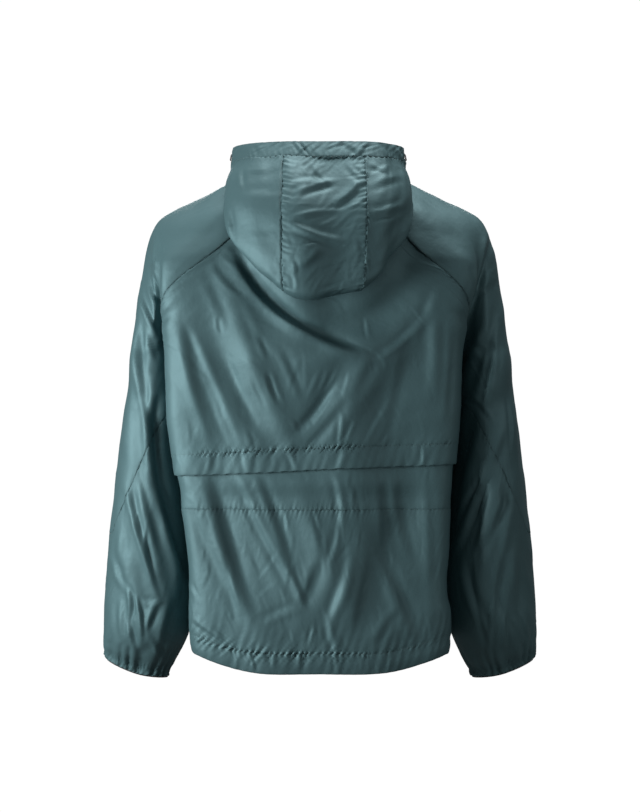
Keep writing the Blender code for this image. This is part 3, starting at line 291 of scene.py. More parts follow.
LEFT_SLEEVE_CREASES = table(
    Crease,
    (239.3, -58.7, 237.8, -116.1, 239.3, -172.1, 5, 0.85),
    (252.5, -89.6, 246.6, -99.9, 237.8, -113.2, 3.5, 0.55),
    (252.5, -122, 248.1, -144.1, 237.8, -163.2, 4.5, 0.75),
    (265.8, -147, 255.5, -170.6, 240.8, -198.6, 5, 0.65),
    (270.2, -173.5, 271.7, -258.9, 248.1, -353.2, 7, 0.6),
    (280.5, -197.1, 283.5, -285.4, 296.7, -373.8, 9, -0.2),
    (255.5, -198.6, 249.6, -219.2, 240.8, -242.7, 5, 0.42),
    (240.8, -285.4, 255.5, -353.2, 237.8, -426.8, 10, 0.7),
    (237.8, -426.8, 223.1, -476.9, 198.1, -577, 10, 0.75),
    (284.9, -426.8, 271.7, -488.6, 234.9, -594.7, 5.5, 0.55),
    (273.1, -423.9, 261.4, -476.9, 237.8, -550.5, 8, -0.25),
    (255.5, -490.1, 259.9, -513.7, 245.2, -557.9, 4.5, 0.55),
    (234.9, -594.7, 249.6, -603.5, 264.3, -594.7, 4, -0.4),
    (287.9, -577, 274.6, -594.7, 284.9, -627.1, 5, 0.6),
    (284.9, -627.1, 282, -647.7, 273.1, -671.2, 5, 0.6),
    (273.1, -590.2, 261.4, -612.3, 262.8, -653.6, 4.5, 0.6),
    (237.8, -600.6, 249.6, -621.2, 255.5, -641.8, 6, 0.45),
    (308.5, -529.9, 304.1, -553.4, 293.8, -579.9, 6, 0.35),
    (302.6, -594.7, 305.5, -621.2, 298.2, -659.5, 6, -0.32),
    (217.2, -594.7, 226, -627.1, 237.8, -668.3, 8, 0.4),
    (293.8, -447.4, 296.7, -491.6, 290.8, -535.8, 8, 0.2),
    (262.8, -403.2, 249.6, -447.4, 229, -518.1, 7, -0.22),
    (211.3, -535.8, 205.4, -579.9, 211.3, -624.1, 8, 0.3),
    (249.6, -653.6, 240.8, -668.3, 234.9, -686, 5, 0.4),
)
RIGHT_SLEEVE_CREASES = table(
    Crease,
    (-249.6, -60.1, -237.8, -102.9, -220.1, -164.7, 7, 0.8),
    (-264.3, -120.5, -245.2, -132.3, -223.1, -150, 4, 0.5),
    (-261.4, -97, -245.2, -117.6, -227.5, -135.2, 4, -0.3),
    (-259.9, -170.6, -257, -229.5, -237.8, -311.9, 7, -0.5),
    (-242.2, -197.1, -230.4, -235.4, -215.7, -288.4, 8, 0.55),
    (-218.7, -294.3, -236.3, -306.1, -254, -335.5, 5, -0.25),
    (-280.5, -300.2, -283.5, -335.5, -283.5, -373.8, 3.5, -0.6),
    (-290.8, -294.3, -293.8, -344.3, -296.7, -403.2, 5, 0.3),
    (-217.2, -317.8, -202.5, -391.5, -193.6, -491.6, 11, 0.8),
    (-251.1, -409.1, -227.5, -459.2, -202.5, -532.8, 6, 0.55),
    (-262.8, -418, -245.2, -465.1, -221.6, -529.9, 6, -0.38),
    (-273.1, -440.1, -259.9, -476.9, -242.2, -515.1, 7, 0.4),
    (-239.3, -415, -218.7, -447.4, -206.9, -482.8, 5, 0.5),
    (-283.5, -418, -274.6, -491.6, -251.1, -579.9, 9, -0.22),
    (-215.7, -538.7, -223.1, -594.7, -242.2, -635.9, 7, 0.4),
    (-265.8, -535.8, -259.9, -588.8, -265.8, -638.8, 9, 0.25),
    (-295.2, -506.3, -292.3, -565.2, -298.2, -624.1, 9, 0.22),
    (-230.4, -594.7, -236.3, -624.1, -251.1, -665.3, 5, -0.35),
    (-259.9, -594.7, -257, -630, -254, -659.5, 4.5, 0.42),
    (-298.2, -612.3, -304.1, -631.5, -310, -656.5, 4, -0.4),
    (-277.6, -618.2, -276.1, -641.8, -277.6, -668.3, 4.5, 0.4),
    (-270.2, -152.9, -265.8, -197.1, -268.7, -241.3, 8, -0.18),
    (-273.1, -344.3, -265.8, -373.8, -251.1, -403.2, 7, 0.24),
)
HOOD_CREASES = table(
    Crease,
    (-19.1, 10.8, 5, 3.7, 30.4, -14.7, 5.5, 0.6),
    (41.7, 5.1, 19.1, 13.6, -14.9, 16.5, 6, -0.3),
    (-65.8, 10.8, -43.2, -6.2, -20.5, -28.8, 7, 0.6),
    (-20.5, -28.8, 5, -37.3, 38.9, -48.6, 6, 0.35),
    (44.6, -44.4, -0.7, -33.1, -37.5, -24.6, 5, -0.38),
    (-37.5, -24.6, -51.6, -20.3, -65.8, -9, 5, -0.4),
    (41.7, -48.6, 13.4, -65.6, -31.8, -71.3, 6, -0.35),
    (43.2, -57.1, 10.6, -76.9, -34.7, -82.6, 6, 0.4),
    (2.1, -76.9, 13.4, -85.4, 27.6, -85.4, 3, -0.6),
    (-6.4, -88.3, 7.8, -105.2, 33.3, -119.4, 8, 0.3),
    (-43.2, -133.5, -23.3, -142, -0.7, -146.3, 3.5, -0.5),
    (-46, -144.9, -26.2, -150.5, -3.5, -153.3, 3, 0.4),
    (-68.6, -33.1, -94.1, -30.2, -116.7, -16.1, 4, -0.65),
    (-68.6, -40.1, -96.9, -38.7, -119.6, -26, 4.5, 0.45),
    (-75.7, -48.6, -91.3, -47.2, -105.4, -41.6, 3.5, -0.5),
    (-53.1, -137.8, -71.5, -129.3, -88.4, -115.1, 3, -0.6),
    (-60.1, -130.7, -77.1, -120.8, -96.9, -105.2, 3, -0.4),
    (-71.5, 34.8, -82.8, 30.6, -94.1, 24.9, 3.5, 0.75),
    (-99.8, 39.1, -85.6, 30.6, -71.5, 23.5, 3.5, -0.6),
    (-119.6, 19.3, -99.8, 13.6, -74.3, 0.9, 6, 0.45),
    (-37.5, 39.1, -46, 22.1, -63, 13.6, 5, -0.4),
    (-46, 39.1, -57.3, 24.9, -74.3, 16.5, 4, 0.5),
    (116.7, 30.6, 113.9, 16.5, 111.1, -0.5, 5, 0.45),
    (129.5, -24.6, 128.1, -48.6, 123.8, -71.3, 4.5, 0.55),
    (109.7, -7.6, 81.4, -3.4, 50.2, -11.8, 8, -0.22),
    (118.2, 24.9, 81.4, 22.1, 50.2, 27.8, 8, 0.14),
    (65.8, -108.1, 58.7, -116.6, 50.2, -123.6, 2.8, -0.45),
    (72.9, -113.7, 61.6, -123.6, 50.2, -132.1, 2.8, -0.45),
    (81.4, -116.6, 67.2, -130.7, 51.6, -142, 3, 0.35),
    (98.3, -62.8, 81.4, -68.4, 55.9, -68.4, 5, -0.16),
    (37.5, -103.8, 30.4, -113.7, 33.3, -125, 3.5, 0.6),
    (40.3, -122.2, 33.3, -133.5, 36.1, -144.9, 3.5, -0.5),
    (-51.6, -74.1, -60.1, -88.3, -54.5, -105.2, 5, 0.25),
    (-85.6, -67, -102.6, -57.1, -116.7, -37.3, 8, 0.25),
    (-14.9, -105.2, -37.5, -96.7, -57.3, -82.6, 8, -0.14),
    (16.3, 39.1, 5, 22.1, -14.9, 5.1, 4, -0.35),
    (27.6, 36.3, 16.3, 22.1, 2.1, 10.8, 4, 0.3),
)
BAND_CREASES = table(
    Crease,
    (38.6, 72.2, 31.3, 62, 22.6, 50.4, 3, -0.6),
    (29.8, 72.2, 22.6, 62, 12.4, 50.4, 3, -0.55),
    (34.2, 72.2, 26.9, 62, 18.2, 50.4, 3, 0.5),
    (15.3, 64.9, 10.9, 57.7, 5.1, 48.9, 3, -0.4),
    (-105.5, 69.3, -112.8, 60.6, -120, 50.4, 3, -0.5),
    (-111.3, 70.8, -118.6, 62, -124.4, 53.3, 3, 0.5),
    (-29.8, 72.2, -44.4, 60.6, -61.8, 51.8, 5, 0.25),
    (-70.6, 72.2, -61.8, 62, -56, 50.4, 4, 0.4),
    (95.3, 72.2, 90.9, 62, 83.7, 51.8, 4, -0.2),
    (-82.2, 70.8, -93.8, 60.6, -105.5, 50.4, 5, -0.3),
)
FRONT_CREASES = table(
    Crease,
    (150, -215, 110, -300, 60, -400, 11, 0.45),
    (175, -200, 150, -330, 130, -470, 10, -0.35),
    (120, -130, 100, -200, 40, -260, 9, 0.4),
    (60, -120, 50, -210, 20, -300, 8, -0.3),
    (12, -330, 45, -360, 90, -372, 6, 0.35),
    (12, -450, 40, -470, 75, -468, 6, -0.4),
    (150, -450, 140, -540, 110, -640, 10, 0.4),
    (90, -480, 85, -560, 60, -645, 9, -0.35),
    (40, -540, 45, -600, 30, -655, 7, 0.4),
    (130, -340, 115, -390, 95, -430, 7, 0.32),
    (13, -220, 30, -235, 60, -235, 5, 0.3),
    (165, -560, 160, -600, 148, -645, 7, -0.32),
    (90, -70, 80, -110, 50, -140, 7, 0.3),
    (-160, -205, -120, -310, -70, -380, 11, 0.45),
    (-178, -230, -160, -340, -145, -460, 10, -0.32),
    (-125, -125, -105, -190, -50, -250, 9, 0.4),
    (-55, -130, -45, -220, -25, -320, 8, -0.3),
    (-12, -280, -40, -300, -80, -305, 6, 0.35),
    (-12, -500, -45, -520, -85, -525, 6, 0.36),
    (-145, -430, -130, -530, -100, -630, 10, 0.42),
    (-85, -460, -80, -550, -65, -640, 9, -0.32),
    (-35, -560, -42, -610, -28, -655, 7, 0.4),
    (-120, -360, -105, -400, -80, -425, 7, -0.32),
    (-95, -75, -80, -120, -60, -150, 7, 0.3),
)
# The broad planes into which the back and the hood hang, mostly turned away from the left.
BACK_PLANES = table(
    Crease,
    (-70, -330, -75, -450, -75, -640, 55, 0.24),
    (-60, -130, -75, -250, -60, -420, 55, 0.17),
    (190, -431, 0, -431, -190, -431, 20, 0.34),
    (10, -105, 4, -160, -6, -235, 42, 0.38),
    (-126, -400, -127, -500, -128, -620, 22, 0.15),
)
HOOD_PLANES = table(
    Crease,
    (16, 60, -8, -65, -6, -200, 40, 0.4),
    (60, -112, -10, -108, -85, -80, 30, 0.3),
)

# ---------------------------------------------------------------- curves and form


def cubic(p0, p1, p2, p3, f):
    """A smooth curve through four values, at share f of the way from the second to the third."""
    return p1 + 0.5 * f * (p2 - p0 + f * (2 * p0 - 5 * p1 + 4 * p2 - p3 + f * (3 * (p1 - p2) + p3 - p0)))


def through(rows, s):
    """A smooth curve through the rows of a table, at row number s."""
    last = len(rows) - 1
    k = min(max(int(math.floor(s)), 0), last - 1)
    f = s - k
    p1, p2 = rows[k], rows[k + 1]
    p0 = rows[k - 1] if k > 0 else 2 * p1 - p2
    p3 = rows[k + 2] if k + 2 <= last else 2 * p2 - p1
    return cubic(p0, p1, p2, p3, f)


def unit(v):
    """Vectors of length one; the last axis holds the components."""
    return v / np.maximum(np.linalg.norm(v, axis=-1, keepdims=True), 1e-12)


def tangent(before, here, after):
    """Direction of a smooth line through three points, at the middle one."""
    back, ahead = here - before, after - here
    d0, d1 = np.linalg.norm(back), np.linalg.norm(ahead)
    return unit(back / d0 * d1 + ahead / d1 * d0)


def bezier(p0, t0, t1, p3, f):
    """Point of a curve between two points with given directions."""
    reach = HANDLE * np.linalg.norm(p3 - p0)
    p1, p2 = p0 + t0 * reach, p3 - t1 * reach
    g = 1 - f
    return g * g * g * p0 + 3 * g * g * f * p1 + 3 * g * f * f * p2 + f * f * f * p3


def mix(a, b, share):
    return a + (b - a) * share


def clamp(value, low=0.0, high=1.0):
    return min(max(value, low), high)


def ease(value):
    """A smooth step from 0 to 1, for a number or an array."""
    value = np.clip(value, 0.0, 1.0)
    return value * value * (3 - 2 * value)


def bell(value):
    """1 at 0, falling smoothly to 0 on both sides."""
    return np.exp(-value ** 2)


def running(lengths):
    """Distance from the start at each end of a row of lengths."""
    return np.concatenate(((0.0,), np.cumsum(lengths)))


def along_line(distance, total, values):
    """Vector at a distance along a line whose points lie at the running distances."""
    return np.array([np.interp(distance, total, values[:, k]) for k in range(values.shape[1])])


def mark(side, row, name):
    """A named guide point of a table's row, on the left (1) or the right (-1)."""
    x, y, z = (getattr(row, f"{name}_{axis}") for axis in "xyz")
    return np.array((side * x, y, z))


BODY_ROWS, HEAD_ROWS, ARM_ROWS, HOOD_ROWS = (np.array(rows) for rows in (BODY, HEAD, ARM, HOOD))
SIDEWAYS, FORWARD = np.array((1.0, 0.0, 0.0)), np.array((0.0, -1.0, 0.0))
MIRROR = np.array((-1.0, 1.0, 1.0))
LEVEL = np.array((1.0, 1.0, 0.0))


def spread(marks, counts, low, high, least):
    """Column places from low to high that pass through the marks, with the least room between them."""
    ends = [low]
    for k, place in enumerate(marks):
        ends.append(clamp(place, low + least * (k + 1), high - least * (len(marks) - k)))
    ends.append(high)
    places = [low]
    for start, end, count in zip(ends, ends[1:], counts):
        places += [mix(start, end, (n + 1) / count) for n in range(count)]
    return places


def front_of(point, s, drop_share):
    """The front's point that faces one of the back, lower near the neck."""
    drop = FRONT_NECK_DROP * clamp((s - UNDERARM) / (NECK - UNDERARM)) ** 2 * drop_share
    return np.array((point[0], FRONT_AXIS - (point[1] - FRONT_AXIS) * FRONT_DEPTH, point[2] - drop))


def section_marks(side, s):
    """Guide points of a body section from the centre back round to the centre front."""
    row = Section(*through(BODY_ROWS, s))
    if s <= UNDERARM:
        side_line = through(BODY_ROWS[:UNDERARM + 1], s)
    else:
        side_line = through(BODY_ROWS[UNDERARM:], s - UNDERARM)
    row = row._replace(**dict(zip(Section._fields[5:8], side_line[5:8])))
    above = clamp(s - UNDERARM)
    centre = np.array((0.0, row.back_y, row.back_z))
    crest = mark(side, row, "crest") + SIDEWAYS * row.lean
    fold = mark(side, row, "side") + SIDEWAYS * row.lean * above
    blade = np.array((
        BLADE_SHARE * crest[0],
        row.back_y - BLADE_FALL * (row.back_y - row.crest_y),
        mix(row.back_z, row.crest_z, BLADE_RISE),
    ))
    head = Head(*through(HEAD_ROWS, max(s - UNDERARM, 0.0)))
    back, outer = mark(side, head, "back"), mark(side, head, "outer")
    return [
        centre, blade, crest, fold, back, outer,
        front_of(back, s, 0.06), mix(fold, front_of(fold, s, 0.15), above),
        front_of(crest, s, 0.3), front_of(blade, s, 0.7), front_of(centre, s, 1.0),
    ]


def section_directions(side, s, marks):
    """Directions into and out of each guide point."""
    across = side * SIDEWAYS
    into = [across]
    into += [tangent(marks[k - 1], marks[k], marks[k + 1]) for k in range(1, 10)]
    into.append(-across)
    folded = ease((UNDERARM + 4 - s) / 2)
    down_side = unit(np.array((0.12 * side, -1.0, 0.0)))
    into[2] = unit(mix(into[2], down_side, folded))
    into[8] = unit(mix(into[8], down_side * MIRROR, folded))
    into[5] = FORWARD
    out = list(into)
    closed = clamp(1 - (s - UNDERARM))
    leave = unit(arm_leaves(side))
    for ways, k, way in ((into, 3, FORWARD), (out, 3, leave), (into, 7, leave * MIRROR), (out, 7, FORWARD)):
        ways[k] = unit(mix(ways[k], way, closed))
    return into, out


def arm_leaves(side):
    """The way in which the sleeve's cloth leaves the side line."""
    return np.array((0.78 * side, 0.62, 0.0))


def body(side, t, s):
    """Point of the body section s at place t, from 0 at the centre back to 10 at the centre front."""
    marks = section_marks(side, s)
    into, out = section_directions(side, s, marks)
    k = min(int(t), 9)
    return bezier(marks[k], out[k], into[k + 1], marks[k + 1], t - k)


def outwards(points):
    """Directions square out from the trunk's upright axis."""
    x, y = points[..., 0] / TRUNK_HALF[0] ** 2, (points[..., 1] - FRONT_AXIS) / TRUNK_HALF[1] ** 2
    return unit(np.stack((x, y, np.zeros(x.shape)), axis=-1))


def torso(side, t, s):
    """The trunk's cloth with the puffed casing of the hem; its folds come later."""
    point = body(side, t, s)
    puff = CASING_PUFF * math.sin(math.pi * s / CASING_TOP_ROW) if s < CASING_TOP_ROW else 0.0
    return point + outwards(point) * puff


def row_at(z):
    """Body section whose centre back lies at height z, below the underarm."""
    heights = [row.back_z for row in BODY[:UNDERARM + 1]]
    return float(np.interp(z, heights, range(UNDERARM + 1)))


def arm_ring(side, t, r):
    """Point of the sleeve ring r, with t from 3 at the inner line round the back to 7."""
    row = Ring(*through(ARM_ROWS, r))
    share = (row.mid_x - row.inner_x) / (row.outer_x - row.inner_x)
    mid_z = mix(row.inner_z, row.outer_z, share) - CUFF_SAG * ease((r - 5) / 4)
    inner, outer = mark(side, row, "inner"), mark(side, row, "outer")
    back, front = (np.array((side * row.mid_x, y, mid_z)) for y in (row.back_y, row.front_y))
    marks = [inner, back, outer, front, inner]
    ahead = unit(outer - inner)
    opened = clamp(1 - r)
    leave = unit(mix(-FORWARD, arm_leaves(side), opened))
    back_way = unit(mix(ahead, tangent(inner, back, outer), opened))
    front_way = unit(mix(-ahead, tangent(outer, front, inner), opened))
    out = [leave, back_way, FORWARD, front_way]
    into = [None, back_way, FORWARD, front_way, leave * MIRROR]
    k = min(int(t - SIDE), 3)
    return bezier(marks[k], out[k], into[k + 1], marks[k + 1], t - SIDE - k)


def sleeve(side, t, q):
    """The sleeve's cloth: q below 0 runs up over the sleeve head, q above 0 down the rings."""
    point = body(side, t, UNDERARM - q) if q < 0 else arm_ring(side, t, q)
    ends = max(clamp(1 - (t - SIDE)), clamp(1 - (FRONT_SIDE - t)))
    return point + SIDEWAYS * side * 0.5 * MM * ends * clamp(1 - abs(q))


def rows_above():
    """Body sections from the underarm to the neckline."""
    return [mix(UNDERARM, NECK, n / HEAD_STEPS) for n in range(HEAD_STEPS + 1)]


def raglan_place(s):
    """Place of the raglan seam in a body section, or of the side line below the underarm."""
    return float(Head(*through(HEAD_ROWS, s - UNDERARM)).raglan) if s > UNDERARM else SIDE


def elbow_ring(t):
    """Ring at which the slanting elbow seam crosses place t."""
    across = (1 - math.cos(math.pi * (t - SIDE) / 2)) / 2
    z = ELBOW_INNER_Z + ELBOW_FALL * across + ELBOW_BEND * across ** 2
    heights = [-row.inner_z for row in ARM[:5]]
    return float(np.interp(-z, heights, range(5)))


def trim(outer, sides, distance):
    """Draw the named edges of a panel back by a distance, or out where it is below 0."""
    moved = outer.copy()
    for name in sides:
        edge, inside = {"first": (0, 1), "last": (-1, -2), "bottom": (0, 1), "top": (-1, -2)}[name]
        was, now = outer, moved
        if name in ("bottom", "top"):
            was, now = was.swapaxes(0, 1), now.swapaxes(0, 1)
        now[edge] += unit(was[inside] - was[edge]) * distance
    return moved


def back_place(i, s):
    """Side and place of column i of a back panel, counted from the wearer's right side seam."""
    places = spread((2.0,), (9, 3), 0.0, raglan_place(s), LEAST_ROOM)
    return (-1 if i < BACK_HALF else 1), places[abs(i - BACK_HALF)]


def flap_row(i):
    """Body section at which the flap's free edge crosses column i."""
    side, t = back_place(i, row_at(FLAP_Z))
    x = body(side, t, row_at(FLAP_Z))[0]
    return row_at(FLAP_Z + FLAP_TILT * x)


def zip_edge(side, s, half):
    """Place at which the centre front section lies half a width from the middle."""
    width = abs(section_marks(side, s)[9][0])
    return CENTRE_FRONT - half / (3 * HANDLE * width)


def sleeve_columns(q):
    """Places of a sleeve's columns, from seam to seam on the head and evenly round the rings."""
    seam = raglan_place(UNDERARM - q) if q < 0 else SIDE
    half = spread((2.0, 3.0), (3, 2, 6), seam, OUTER, LEAST_ROOM)
    even = [mix(SIDE, OUTER, n / SLEEVE_HALF) for n in range(SLEEVE_HALF + 1)]
    share = ease(q / 1.2) if q > 0 else 0.0
    half = [mix(a, b, share) for a, b in zip(half, even)]
    return half + [CENTRE_FRONT - t for t in reversed(half[:-1])]


def hood_row(side, u):
    """Hood station, mirrored past the centre back, with the right panel seam set further out."""
    signs = [-1.0 if name.endswith("_x") or name == "neck" else 1.0 for name in Station._fields]
    row = through(np.vstack((HOOD_ROWS, HOOD_ROWS[-2] * signs)), u)
    if side < 0:
        near = max(0.0, 1 - abs(u - HOOD_SEAM_STATION))
        for name in ("in_x", "fold_x", "out_x", "rim_x"):
            row[Station._fields.index(name)] *= mix(1.0, HOOD_SEAM_RIGHT, near)
    return row


def hood(side, u, v):
    """The hood's cloth: u from the centre front round to the centre back, v from neckline to edge."""
    row = Station(*hood_row(side, u))
    neck = body(side, clamp(row.neck, 0.0, CENTRE_FRONT), NECK) + np.array((0.0, 0.0, HOOD_NECK_LIFT))
    marks = np.array([neck] + [mark(side, row, name) for name in ("in", "fold", "out", "rim")])
    marks[:, 0] += HOOD_LEAN * np.array((0.0, 0.4, 1.0, 1.0, 1.0)) * ease(u / 3)
    ways = [unit(unit(marks[1] - marks[0]) + outwards(neck) + np.array((0.0, 0.0, 0.5)))]
    ways += [tangent(marks[k - 1], marks[k], marks[k + 1]) for k in (1, 2, 3)]
    ways.append(unit(marks[4] - marks[3]))
    k = min(max(int(v), 0), 3)
    return bezier(marks[k], ways[k], ways[k + 1], marks[k + 1], v - k)


def below_edge(side, u, distance):
    """Height count of the point that lies a distance below the edge of the face opening."""
    v, covered, step = RIM, 0.0, 0.02
    here = hood(side, u, v)
    while covered < distance:
        v -= step
        there = hood(side, u, v)
        covered += float(np.linalg.norm(there - here))
        here = there
    return v


# ---------------------------------------------------------------- fine cloth

# Grid lines lie at these distances from an edge, and close beside a kept distance.
EDGE_LINES = np.array((0.0, 0.5, 1.2, 2.2)) * MM
KEPT_ROOM, KEPT_SIDE = 1.6 * MM, 0.9 * MM
# Most creases run down the cloth, so its columns lie closer than its rows; the hood's run both ways.
ACROSS, HOOD_ACROSS = 0.72, 1.08


def resample(values, places, wrap=False):
    """Values between the rows of a grid, on smooth curves through them; wrap joins last to first."""
    last = len(values) - 1
    k = np.clip(np.floor(places).astype(int), 0, last - 1)
    f = (places - k).reshape((-1,) + (1,) * (values.ndim - 1))
    before = values[-2] if wrap else 2 * values[0] - values[1]
    after = values[1] if wrap else 2 * values[-1] - values[-2]
    rows = np.concatenate((before[None], values, after[None]))
    return cubic(*(rows[k + n] for n in range(4)), f)


def fine_lines(lengths, pitch, keep=()):
    """Fractional line numbers at an even pitch, closer at both ends and beside the kept distances."""
    total = running(lengths)
    length, end = total[-1], EDGE_LINES[-1]
    marks = np.linspace(end, length - end, max(int(round((length - 2 * end) / pitch)), 1) + 1)
    for distance in keep:
        marks = marks[abs(marks - distance) > KEPT_ROOM]
        marks = np.concatenate((marks, (distance - KEPT_SIDE, distance, distance + KEPT_SIDE)))
    marks = np.unique(np.concatenate((EDGE_LINES, marks, length - EDGE_LINES)))
    return np.interp(marks, total, np.arange(len(total)))


def arc_lengths(points, axis):
    """Distance of each grid point from the first one, along the cloth."""
    steps = np.linalg.norm(np.diff(points, axis=axis), axis=-1)
    zero = np.zeros_like(np.take(steps, [0], axis=axis))
    return np.concatenate((zero, np.cumsum(steps, axis=axis)), axis=axis)


def between(values, columns, rows):
    """Values of a grid at fractional columns and rows."""
    wide = np.stack([np.interp(columns, np.arange(len(line)), line) for line in values.T], axis=1)
    return np.stack([np.interp(rows, np.arange(len(line)), line) for line in wide])


class Cut:
    """A cut piece of cloth: the fine grid of its outer face, columns by rows.

    Grid lines are kept at the distances in keep; a whole number there is a row of the solid's grid.
    """

    def __init__(self, name, outer, places, sections, pitch, axis=None, closed_from=None, keep=(),
                 turned=None, across=ACROSS):
        widths = np.linalg.norm(np.diff(outer, axis=0), axis=2).mean(axis=1)
        heights = np.linalg.norm(np.diff(outer, axis=1), axis=2).mean(axis=0)
        keep = [running(heights)[k] if isinstance(k, int) else k for k in keep]
        columns, rows = fine_lines(widths, across * pitch), fine_lines(heights, pitch / across, keep)
        wide = resample(outer, columns)
        if closed_from is not None:
            outer = outer.copy()
            middle = (outer[0, closed_from:] + outer[-1, closed_from:]) / 2
            outer[0, closed_from:] = outer[-1, closed_from:] = middle
            wide[:, closed_from:] = resample(outer[:, closed_from:], columns, wrap=True)
        self.name = name
        self.points = resample(wide.swapaxes(0, 1), rows).swapaxes(0, 1)
        self.closed_from = None if closed_from is None else int(np.searchsorted(rows, closed_from - 1e-9))
        self.close(self.points)
        self.t, self.s = between(places, columns, rows), between(sections, columns, rows)
        self.across, self.along = arc_lengths(self.points, 0), arc_lengths(self.points, 1)
        self.axis = axis
        self.turned = self.faces_inwards() if turned is None else turned
        self.normals = self.find_normals()
        self.base = self.points.copy()
        self.edges = {
            "first": self.across, "last": self.across[-1:] - self.across,
            "bottom": self.along, "top": self.along[:, -1:] - self.along,
        }

    def close(self, values):
        """Make the first and last columns of the ring rows one."""
        if self.closed_from is not None:
            middle = (values[0, self.closed_from:] + values[-1, self.closed_from:]) / 2
            values[0, self.closed_from:] = values[-1, self.closed_from:] = middle

    def raw_normals(self):
        return unit(np.cross(np.gradient(self.points, axis=0), np.gradient(self.points, axis=1)))

    def faces_inwards(self):
        return bool((self.raw_normals() * self.axis(self.points)).sum() < 0)

    def find_normals(self):
        normals = self.raw_normals() * (-1 if self.turned else 1)
        self.close(normals)
        return unit(normals)

    def raise_by(self, heights, ways=None):
        """Move the cloth outwards by heights, along given ways or its own normals."""
        self.close(heights)
        self.points = self.points + (self.normals if ways is None else ways) * heights[..., None]
        self.close(self.points)
        self.normals = self.find_normals()

    @property
    def x(self):
        return self.base[..., 0]

    @property
    def z(self):
        return self.base[..., 2]

    def roll_edges(self, names, depth=0.55 * MM, reach=1.0 * MM):
        """Turn the seamed edges in."""
        heights = np.zeros(self.t.shape)
        for name in names:
            heights -= depth * bell(self.edges[name] / reach)
        self.raise_by(heights)

    def line(self, edge, distance, start=0.0, end=1.0):
        """Points and normals of a line beside an edge, between two shares of that edge's length."""
        flip = edge in ("first", "last")
        points, normals, far = self.points, self.normals, self.edges[edge]
        if flip:
            points, normals, far = points.swapaxes(0, 1), normals.swapaxes(0, 1), far.T
        if edge in ("last", "top"):
            points, normals, far = points[:, ::-1], normals[:, ::-1], far[:, ::-1]
        low, high = int(start * (len(far) - 1)), int(end * (len(far) - 1)) + 1
        both = np.concatenate((points, normals), axis=2)[low:high]
        found = np.array([along_line(distance, *row) for row in zip(far[low:high], both)])
        return found[:, :3], unit(found[:, 3:])


def cut_grid(columns, rows, place, surface):
    """Points, places and sections of a panel on the solid's own grid lines."""
    points = np.zeros((columns + 1, rows + 1, 3))
    places, sections = np.zeros(points.shape[:2]), np.zeros(points.shape[:2])
    for i in range(columns + 1):
        for j in range(rows + 1):
            side, t, s = place(i, j)
            points[i, j], places[i, j], sections[i, j] = surface(side, t, s), side * t, s
    return points, places, sections


# ---------------------------------------------------------------- folds, creases and puckers

# The way, in x and z, to which a crease with a positive turn rises.
LIGHT_WAY = np.array((0.75, 0.66))


def curve_points(row, count):
    """Points on the curve of a fold or crease, from its start, middle handle and end."""
    f = np.linspace(0.0, 1.0, count)[:, None]
    ends = np.array(row[:6]).reshape(3, 2)
    return (1 - f) ** 2 * ends[0] + 2 * f * (1 - f) * ends[1] + f ** 2 * ends[2]


def nearest(path, x, z):
    """Square distance, signed distance towards the light side and share along a path."""
    chord = path[-1] - path[0]
    turn = 1.0 if np.dot((-chord[1], chord[0]), LIGHT_WAY) >= 0 else -1.0
    best, signed, place = np.full(x.shape, 1e9), np.zeros(x.shape), np.zeros(x.shape)
    for k, (start, end) in enumerate(zip(path, path[1:])):
        way = end - start
        f = np.clip(((x - start[0]) * way[0] + (z - start[1]) * way[1]) / max(way @ way, 1e-12), 0, 1)
        dx, dz = x - start[0] - way[0] * f, z - start[1] - way[1] * f
        far = dx * dx + dz * dz
        closer = far < best
        best = np.where(closer, far, best)
        across = (-way[1] * dx + way[0] * dz) / max(np.linalg.norm(way), 1e-9) * turn
        signed = np.where(closer, across, signed)
        place = np.where(closer, (k + f) / (len(path) - 1), place)
    return best, signed, place


def each_near(rows, x, z, count):
    """For each curve of a table: the row, the points it reaches and what nearest() finds there."""
    for row in rows:
        path = curve_points(row, count)
        room = 3 * row.reach
        inside = ((x > path[:, 0].min() - room) & (x < path[:, 0].max() + room)
                  & (z > path[:, 1].min() - room) & (z < path[:, 1].max() + room))
        if inside.any():
            yield (row, inside) + nearest(path, x[inside], z[inside])


def fold_heights(folds, x, z):
    """Rounded folds that swell in their middle."""
    total = np.zeros(x.shape)
    for fold, inside, best, _, place in each_near(folds, x, z, 13):
        swell = 0.35 + 0.65 * np.sin(np.pi * place)
        total[inside] += fold.depth * swell * np.exp(-best / fold.reach ** 2)
    return total


def crease_heights(creases, x, z, strength=1.0):
    """Creases that turn the cloth up on one side of their line and down on the other."""
    total = np.zeros(x.shape)
    for crease, inside, best, signed, place in each_near(creases, x, z, 17):
        taper = np.sin(np.pi * np.clip(place, 0.02, 0.98)) ** 0.55
        total[inside] += crease.turn * strength * signed * taper * np.exp(-best / crease.reach ** 2)
    return total


def small_creases(seed, width, height, count, way, turn=0.16, reach=(1.6, 4.4), length=(10, 46)):
    """Seeded small creases over a flat cut of a width and height, mostly running one way (degrees)."""
    rng = np.random.default_rng(seed)
    made = []
    for _ in range(count):
        x, z = rng.uniform(0, width), rng.uniform(0, height)
        angle = math.radians(way + rng.normal(0, 24))
        half = rng.uniform(*length) * MM / 2
        dx, dz = math.cos(angle) * half, math.sin(angle) * half
        bow = rng.normal(0, 0.18)
        made.append(Crease(x - dx, z - dz, x - dz * bow, z + dx * bow, x + dx, z + dz,
                           rng.uniform(*reach) * MM, turn * rng.uniform(0.35, 1.0) * rng.choice((-1, 1))))
    return made


